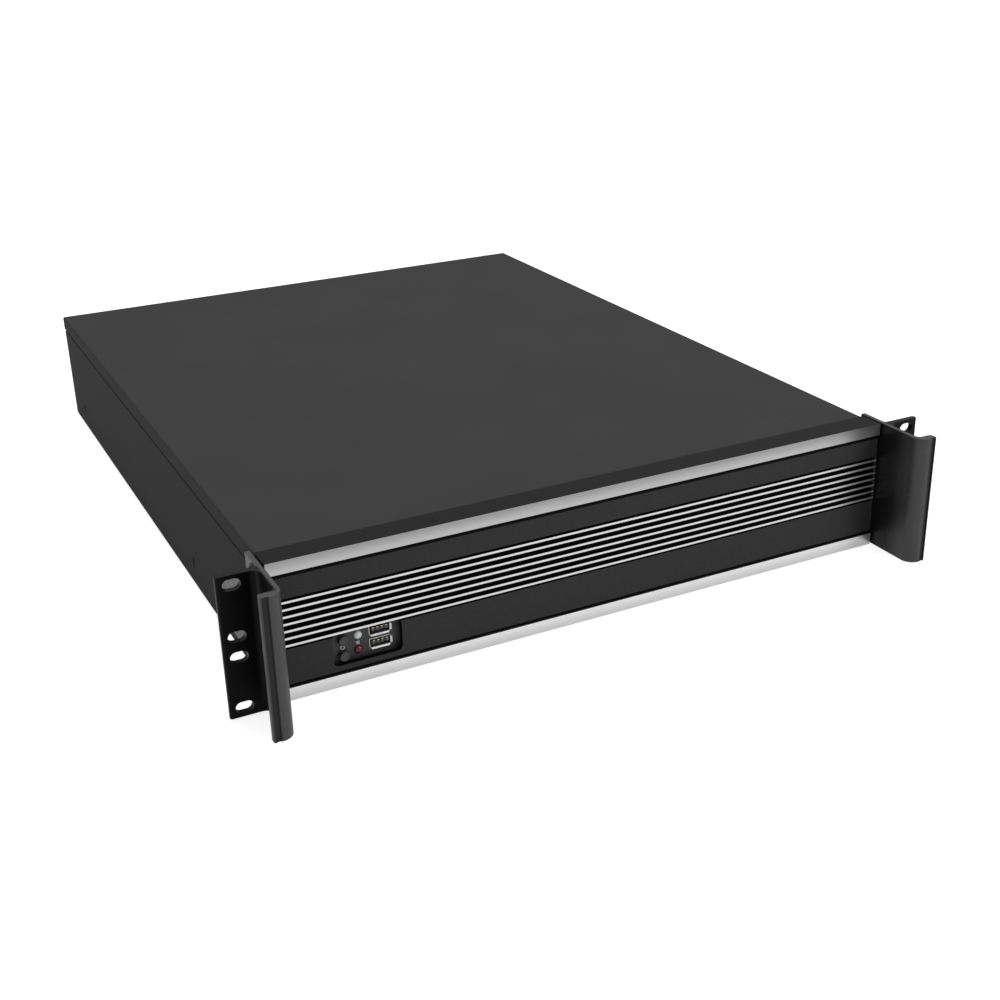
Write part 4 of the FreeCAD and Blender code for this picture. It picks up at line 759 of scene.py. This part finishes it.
def from_front(node):
    """A place at the middle of a node's front, the depth of the plate's back, and the length."""
    low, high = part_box(node)
    middle = Vector(((low.x + high.x) / 2, low.y, (low.z + high.z) / 2))
    return forward_place(middle), PLATE_BACK - low.y, high.y - low.y


def turned(shape, to_place, profile):
    """Turns a profile of (radius, height) that starts and ends on the axis."""
    tip = corner_ring(shape, to_place, [(0, 0, profile[0][1])])
    carried_on(shape, to_place, tip, profile[1:])


def button_shape(shape, node):
    to_place, flange, length = from_front(node)
    near, back = -flange - FLANGE_NEAR, -flange - FLANGE_BACK
    stem = [(BUTTON_RADIUS, near), (FLANGE_RADIUS, near), (FLANGE_RADIUS, back),
            (STEM_RADIUS, back), (STEM_RADIUS, -length), (0, -length)]
    turned(shape, to_place, DISH + stem)


for name in ("power", "reset"):
    node = name + "_button"
    mesh = mesh_of(node + "_dished", lambda shape: button_shape(shape, node), 34)
    link(node + "_dished", mesh, "button_plastic", name + "_key", "button_plastic", node)
    print(node, "front at", round(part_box(node)[0].y * 1000, 2), "mm behind the ears' plane")

# %% Indicator lamps
LAMP_RADIUS, DOME_HIGH, DOME_STEPS = 0.0025, 0.0016, 10
RIM_RADIUS, RIM_THICK = 0.0029, 0.001
LEAD, LEAD_HALF_SPAN, LEAD_BREAK = 0.0005, 0.00127, 0.00006


def bar(shape, middle, spans, edge):
    """A box about a middle point, with its edges just broken."""
    to_place = Matrix.Translation(middle) @ Matrix.Diagonal((*spans, 1))
    made = bmesh.ops.create_cube(shape, size=1, matrix=to_place)
    edges = [e for e in shape.edges if e.verts[0] in made["verts"]]
    bmesh.ops.bevel(shape, geom=edges, offset=edge, segments=1, affect="EDGES")


def lamp_shape(shape, node):
    to_place, rim, length = from_front(node)
    back = -rim - RIM_THICK
    dome = [(LAMP_RADIUS * math.sin(a), -DOME_HIGH * (1 - math.cos(a))) for a in
            [math.radians(90 * i / DOME_STEPS) for i in range(DOME_STEPS + 1)]]
    turned(shape, to_place, dome + [(LAMP_RADIUS, -rim), (RIM_RADIUS, -rim), (RIM_RADIUS, back),
                                    (0, back)])
    for side in (-1, 1):
        middle = to_place @ Vector((side * LEAD_HALF_SPAN, 0, (back - length) / 2))
        bar(shape, middle, (LEAD, length + back, LEAD), LEAD_BREAK)


for name, finish in (("status", "lamp_white"), ("drive", "lamp_red")):
    node = name + "_lamp"
    mesh = mesh_of(node + "_dome", lambda shape: lamp_shape(shape, node), 34)
    link(node + "_dome", mesh, finish, "case", finish, node)
    print(node, "dome", LAMP_RADIUS * 2000, "mm across")

# %% [markdown]
# ## Data sockets
# A socket is a folded shell of thin bright steel. Its mouth opens out in lips below and beside the
# opening, with the corner left open, so that a plug finds its way in. Springs in the shell's top
# hold the plug, and four contacts run along the tongue and end at its front edge.

# %% Walls and lips of a socket's shell
SHELL_WALL, SHELL_BACK = 0.0004, 0.001
WALL_BREAK = 0.12
LIP_OUT, LIP_DEEP, LIP_CURVE = 0.0008, 0.0006, 1.6
LIP_TAPER, LIP_START = 0.0006, 0.6
LIP_STATIONS = ((0, 1), (0.5, 1), (1, 0.8))


def plate(shape, low, high):
    """A thin bar between two corners."""
    low, high = Vector(low), Vector(high)
    spans = high - low
    bar(shape, (low + high) / 2, spans, min(spans) * WALL_BREAK)


def lip(shape, start, end, outward):
    """A flared lip along one side of the mouth: a strip that leans outward as it comes forward."""
    start, end, outward = Vector(start), Vector(end), Vector(outward)
    taper = (end - start).normalized() * LIP_TAPER
    rings = []
    for share, thick in LIP_STATIONS:
        out = LIP_OUT * share ** LIP_CURVE - SHELL_WALL
        place = outward * out + Vector((0, -LIP_DEEP * share, 0))
        inset = taper * (LIP_START + share)
        one, other = start + inset + place, end - inset + place
        wall = outward * SHELL_WALL * thick
        rings.append([shape.verts.new(spot) for spot in (one, other, other + wall, one + wall)])
    for inner, outer in zip(rings, rings[1:]):
        bridge(shape, inner, outer)
    shape.faces.new(rings[0][::-1])
    shape.faces.new(rings[-1])


print("lips stand out", LIP_OUT * 1000, "mm from the shell")

# %% Socket shells with their springs
SPRING_SHARES, SPRING_HALF = (0.3, 0.7), 0.001
SPRING_NEAR, SPRING_FAR = 0.0006, 0.005
SPRING_LOW, SPRING_HIGH = 0.0003, 0.0001


def shell_shape(shape, node):
    low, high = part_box(node)
    wall, front = SHELL_WALL, low.y + LIP_DEEP
    inside_low, inside_high = low.z + wall * 0.5, high.z - wall * 0.5
    plate(shape, (low.x, front, low.z), (high.x, high.y, low.z + wall))
    plate(shape, (low.x, front + LIP_DEEP, high.z - wall), (high.x, high.y, high.z))
    plate(shape, (low.x, front + LIP_DEEP, inside_low), (low.x + wall, high.y, inside_high))
    plate(shape, (high.x - wall, front, inside_low), (high.x, high.y, inside_high))
    plate(shape, (low.x + wall * 0.5, high.y - SHELL_BACK, inside_low),
          (high.x - wall * 0.5, high.y, inside_high))
    lip(shape, (low.x, front, low.z), (high.x, front, low.z), (0, 0, -1))
    lip(shape, (high.x, front, low.z), (high.x, front, high.z), (1, 0, 0))
    for share in SPRING_SHARES:
        middle = low.x + (high.x - low.x) * share
        plate(shape, (middle - SPRING_HALF, front + SPRING_NEAR, high.z - wall - SPRING_LOW),
              (middle + SPRING_HALF, front + SPRING_FAR, high.z - wall - SPRING_HIGH))


for name in ("upper", "lower"):
    node = "usb_shell_" + name
    mesh = mesh_of("socket_shell_" + name, lambda shape: shell_shape(shape, node), 30)
    link("socket_shell_" + name, mesh, "socket_metal", "case", "socket_metal", node)
    print(node, "mouth", [round((b - a) * 1000, 1) for a, b in zip(*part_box(node))])

# %% Contacts on the tongues
CONTACTS = 4
STRIP_HALF, STRIP_AHEAD, STRIP_SHORT = 0.0005, 0.0001, 0.002
STRIP_BELOW, STRIP_SUNK = 0.00012, 0.0001
END_HALF, END_AHEAD, END_DEEP = 0.0006, 0.00015, 0.001
END_LOW, END_ABOVE = 0.0006, 0.0001


def contact_gold():
    gold = Finish("contact_gold", roughness=0.3, metallic=0.95)
    rub = gold.noise(2400, 2)
    colour = gold.blend(rub.ease(0.3, 0.7), tone(182, 176, 156), tone(208, 203, 186))
    return gold.wear(Base_Color=colour, Roughness=rub * 0.12 + 0.24)


def contacts_shape(shape, node):
    """Strips along the underside of a tongue, and their ends round its front edge."""
    low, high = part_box(node)
    for number in range(CONTACTS):
        middle = low.x + (high.x - low.x) * (number + 0.5) / CONTACTS
        plate(shape, (middle - STRIP_HALF, low.y - STRIP_AHEAD, low.z - STRIP_BELOW),
              (middle + STRIP_HALF, high.y - STRIP_SHORT, low.z + STRIP_SUNK))
        plate(shape, (middle - END_HALF, low.y - END_AHEAD, high.z - END_LOW),
              (middle + END_HALF, low.y + END_DEEP, high.z + END_ABOVE))


finishes["contact_gold"] = contact_gold()
for name in ("upper", "lower"):
    node = "usb_tongue_" + name
    mesh = mesh_of("socket_contacts_" + name, lambda shape: contacts_shape(shape, node), 30)
    link("socket_contacts_" + name, mesh, "contact_gold", "case", "socket_metal")
print("contacts under each tongue:", CONTACTS)

# %% [markdown]
# ## Signs on the control plate
# Small white signs tell the buttons and lamps apart. They are the plain ones that any maker
# prints: a broken ring with a bar for power, a ring with an arrow for restart, a glowing point and
# a stack of discs. The ink lies on the plate as a film a few hundredths of a millimetre thick.

# %% Ink and its lines
INK_THICK, INK_CLEAR = 0.00004, 0.00001


def white_ink():
    ink = Finish("white_ink", roughness=0.6)
    cover = ink.noise(5200, 2)
    colour = ink.blend(cover.ease(0.35, 0.7), tone(196, 196, 196), tone(232, 232, 232))
    return ink.wear(Base_Color=colour, Roughness=cover * 0.2 + 0.5)


def ink_line(shape, spots, width, middle, front):
    """A film of ink through spots (x, z) round a middle point, closed where its ends meet."""
    closed = (Vector(spots[0]) - Vector(spots[-1])).length < 1e-6
    spots = spots[:-1] if closed else spots
    last = len(spots) - 1
    film = Vector((0, -INK_THICK, 0))
    rows = []
    for i, (x, z) in enumerate(spots):
        before = spots[i - 1] if closed else spots[max(i - 1, 0)]
        after = spots[(i + 1) % len(spots)] if closed else spots[min(i + 1, last)]
        along = (Vector(after) - Vector(before)).normalized()
        across = Vector((-along.y, 0, along.x)) * width / 2
        spot = Vector((middle.x + x, front, middle.z + z))
        one, other = spot + across, spot - across
        rows.append([shape.verts.new(c) for c in (one, other, other + film, one + film)])
    for row, following in zip(rows, rows[1:] + rows[:1] if closed else rows[1:]):
        bridge(shape, row, following)
    if not closed:
        shape.faces.new(rows[0][::-1])
        shape.faces.new(rows[-1])


finishes["white_ink"] = white_ink()
print("ink is", INK_THICK * 1000, "mm thick")

# %% Printed signs
SIGN, STROKE = 0.0011, 0.00042
RAYS, RAY_NEAR, RAY_FAR = 8, 1.0, 1.5


def arc(radius, start, end, steps=20):
    """Spots (x, z) along an arc, in degrees clockwise from the top."""
    angles = [math.radians(start + (end - start) * i / steps) for i in range(steps + 1)]
    return [(radius * math.sin(a), radius * math.cos(a)) for a in angles]


def ray(angle):
    reaches = [share * SIGN * 0.9 for share in (RAY_NEAR, RAY_FAR)]
    return [(reach * math.sin(angle), reach * math.cos(angle)) for reach in reaches]


SIGNS = {
    "power": [arc(SIGN, 35, 325), [(0, 0.0002), (0, SIGN * 1.35)]],
    "reset": [arc(SIGN, 50, 350), [(-0.0007, 0.0014), (0.0001, 0.0011), (-0.0006, 0.0005)]],
    "status": [arc(SIGN * 0.5, 0, 360)] + [ray(math.radians(360 / RAYS * i)) for i in range(RAYS)],
    "drive": [[(-SIGN, h), (SIGN, h)] for h in (-0.0007, 0.0, 0.0007)],
}
SIGN_ABOVE = {"power": 0.0048, "reset": 0.0047, "status": 0.0044, "drive": 0.0043}


def signs_shape(shape):
    plate_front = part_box("control_plate")[0].y
    for name, lines in SIGNS.items():
        low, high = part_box(name + ("_button" if name in ("power", "reset") else "_lamp"))
        middle = (low + high) / 2
        middle.z += SIGN_ABOVE[name]
        for line in lines:
            ink_line(shape, line, STROKE, middle, plate_front - INK_CLEAR)


link("printed_signs", mesh_of("printed_signs", signs_shape, 20), "white_ink", "case",
     "plate_plastic")
print("signs:", list(SIGNS))

# %% [markdown]
# ## Fan rotors
# A rotor is one moulding: a hub cap over the motor and seven blades that lean, twist and thin out
# towards their tips. Straight blades are enough to spin and to weigh. For the eye each blade is
# lofted here from a few curved sections, each at its own radius, and a section climbs as it sweeps
# round the hub.

# %% The section of a blade
ARC_STEPS = 8
CLIMB_CURVE = 1.25
EDGE_THICK, BELLY_THICK = 0.35, 0.65
EDGE_SHARES = 0.04, 0.96


def blade_section(radius, start, sweep, low, high, thick):
    """A thin arc at one radius that climbs from low to high, thickest in the middle."""
    front, back = [], []
    for step in range(ARC_STEPS + 1):
        share = step / ARC_STEPS
        angle = start + sweep * share
        climb = low + (high - low) * (share ** CLIMB_CURVE)
        belly = math.sin(math.pi * min(max(share, EDGE_SHARES[0]), EDGE_SHARES[1]))
        half = Vector((0, 0, thick / 2 * (EDGE_THICK + BELLY_THICK * belly)))
        spot = Vector((radius * math.cos(angle), radius * math.sin(angle), climb))
        front.append(spot + half)
        back.append(spot - half)
    return front + back[::-1]


print("corners round a blade:", len(blade_section(1, 0, 1, 0, 1, 0.1)))

# %% Rotors with twisted blades
HUB_RADIUS, BLADE_REACH, DUCT_RADIUS = 0.017, 0.0365, 0.0385
BLADES, SPAN_STEPS = 7, 6
ROOT_SUNK = 0.0004
ROTOR_BACK = 0.2217
SWEEP, SWEEP_LESS, LEAN, LEAN_CURVE = 46, 9, 20, 1.4
BLADE_THICK, TIP_THINNER = 0.0016, 0.0005
LOW_CLEAR, LOW_RISE = 0.0012, 0.0018
HIGH_CLEAR, HIGH_FALL = 0.0022, 0.0030


def hub_profile(nose, tail):
    """A cap with a rolled edge in front and a broken edge behind."""
    return [(0, nose), (HUB_RADIUS * 0.86, nose), (HUB_RADIUS * 0.96, nose - 0.0007),
            (HUB_RADIUS, nose - 0.0022), (HUB_RADIUS, tail + 0.0005), (HUB_RADIUS - 0.0005, tail),
            (0, tail)]


def blade_sections(start, nose, tail):
    """The sections of one blade, from its root in the hub to its tip."""
    for step in range(SPAN_STEPS + 1):
        share = step / SPAN_STEPS
        yield blade_section(HUB_RADIUS - ROOT_SUNK + (BLADE_REACH - HUB_RADIUS) * share,
                            start + math.radians(LEAN) * share ** LEAN_CURVE,
                            math.radians(SWEEP - SWEEP_LESS * share),
                            tail + LOW_CLEAR + LOW_RISE * share,
                            nose - HIGH_CLEAR - HIGH_FALL * share,
                            BLADE_THICK - TIP_THINNER * share)


def rotor_shape(shape, middle, front):
    to_place = forward_place(middle)
    nose, tail = middle.y - front, middle.y - ROTOR_BACK
    turned(shape, to_place, hub_profile(nose, tail))
    for number in range(BLADES):
        sections = blade_sections(2 * math.pi * number / BLADES, nose, tail)
        rings = [corner_ring(shape, to_place, section) for section in sections]
        for inner, outer in zip(rings, rings[1:]):
            bridge(shape, inner, outer)
        shape.faces.new(rings[0])
        shape.faces.new(rings[-1][::-1])


spins = [joint for joint in frame["joints"] if joint["child"].startswith("rotor_")]
for number, joint in enumerate(spins, 1):
    node, middle = "fan_rotor_%d" % number, Vector(joint["pos_m"])
    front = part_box(node)[0].y
    mesh = mesh_of(node + "_twisted", lambda shape: rotor_shape(shape, middle, front), 35)
    link("rotor_blades_%d" % number, mesh, "rotor_plastic", joint["child"], "rotor_plastic", node)
    print(node, "keeps", round((DUCT_RADIUS - BLADE_REACH) * 1000, 2), "mm to its duct")

# %% [markdown]
# ## Floor and daylight
# The case stands on white that runs to the horizon with hardly a shadow. Lamps strong enough to
# burn the floor white would bleach the case as well. So floor and sky are made white for the rays
# of the camera, and nearly so for reflections, while the light that falls on the case stays low
# and even.

# %% Floor
GLOW_SEEN, GLOW_MIRRORED, GLOW_THROUGH = 0.8, 0.45, 0.8
FLOOR_SIZE, FLOOR_BELOW = 6, 0.0005


def white_floor():
    """White to the camera and in reflections; what the lamps miss stays a faint shadow."""
    floor = Finish("floor_white", roughness=0.9)
    wave = floor.noise(3, 2)
    plain = floor.blend(wave, tone(205, 205, 205), tone(209, 209, 209))
    camera_ray, glossy_ray, through_ray = floor.rays("Camera", "Glossy", "Transmission")
    seen = camera_ray * GLOW_SEEN + glossy_ray * GLOW_MIRRORED + through_ray * GLOW_THROUGH
    glow = floor.node("ShaderNodeEmission", None, {"Color": (1, 1, 1, 1), "Strength": seen})
    both = floor.node("ShaderNodeAddShader", None, {0: floor.shader.outputs[0], 1: glow.outputs[0]})
    floor.feed(floor.tree.nodes["Material Output"].inputs["Surface"], both.outputs[0])
    return floor.wear(Base_Color=plain, Roughness=wave * 0.1 + 0.85)


def floor_grid(shape):
    bmesh.ops.create_grid(shape, x_segments=8, y_segments=8, size=FLOOR_SIZE)


floor_mesh = mesh_of("floor", floor_grid)
floor_mesh.materials.append(white_floor())
floor = bpy.data.objects.new("floor", floor_mesh)
floor.location = (0, 0, -FLOOR_BELOW)
bpy.context.scene.collection.objects.link(floor)
floor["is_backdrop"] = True
print("floor reaches", FLOOR_SIZE, "m each way")

# %% Sky
SKY_LIGHT, SKY_SEEN, SKY_MIRRORED = 0.3, 1.0, 0.4

world = bpy.data.worlds.new("daylight")
world.use_nodes = True
bpy.context.scene.world = world
sky = NodeWriter(world.node_tree)
camera_ray, glossy_ray, through_ray = sky.rays("Camera", "Glossy", "Transmission")
seen = camera_ray + through_ray + glossy_ray * SKY_MIRRORED
levels = {"Value": seen, "To Min": SKY_LIGHT, "To Max": SKY_SEEN}
strength = sky.node("ShaderNodeMapRange", None, levels).outputs[0]
background = sky.tree.nodes["Background"]
sky.feed(background.inputs["Color"], (1, 1, 1, 1))
sky.feed(background.inputs["Strength"], strength)
print("sky lights at", SKY_LIGHT, "and is seen at", SKY_SEEN)

# %% [markdown]
# ## Lights
# Three soft panels light the case, as a small studio would. The key stands in front on the right,
# a weak one on the left keeps that side from going flat, and the largest hangs overhead for the
# lid.

# %% Soft panels of light
def soft_light(name, place, aim, size, power):
    """A lit rectangle at a place, turned to look at the aim."""
    data = bpy.data.lights.new(name, "AREA")
    data.shape = "RECTANGLE"
    data.size, data.size_y = size
    data.energy = power
    made = bpy.data.objects.new(name, data)
    made.location = place
    made.rotation_euler = (Vector(aim) - Vector(place)).to_track_quat("-Z", "Y").to_euler()
    bpy.context.scene.collection.objects.link(made)


soft_light("key_lamp", (1.25, -1.7, 1.05), (0, 0.0, 0.05), (0.9, 0.7), 17)
soft_light("left_lamp", (-1.9, -0.6, 0.9), (-0.2, 0.1, 0.05), (0.5, 0.9), 1)
soft_light("top_lamp", (0.1, 0.5, 2.0), (0, 0.25, 0.05), (1.4, 1.4), 21)

# %% [markdown]
# ## Sizes
# The dressed case has to fill the same box as its construction, so both boxes are kept side by
# side.

# %% Sizes kept
scene_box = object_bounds()


def plain(box):
    return [[float(value) for value in corner] for corner in box]


{"cad": plain(cad_box), "scene": plain(scene_box)}
print("construction", plain(cad_box), "dressed", plain(scene_box))
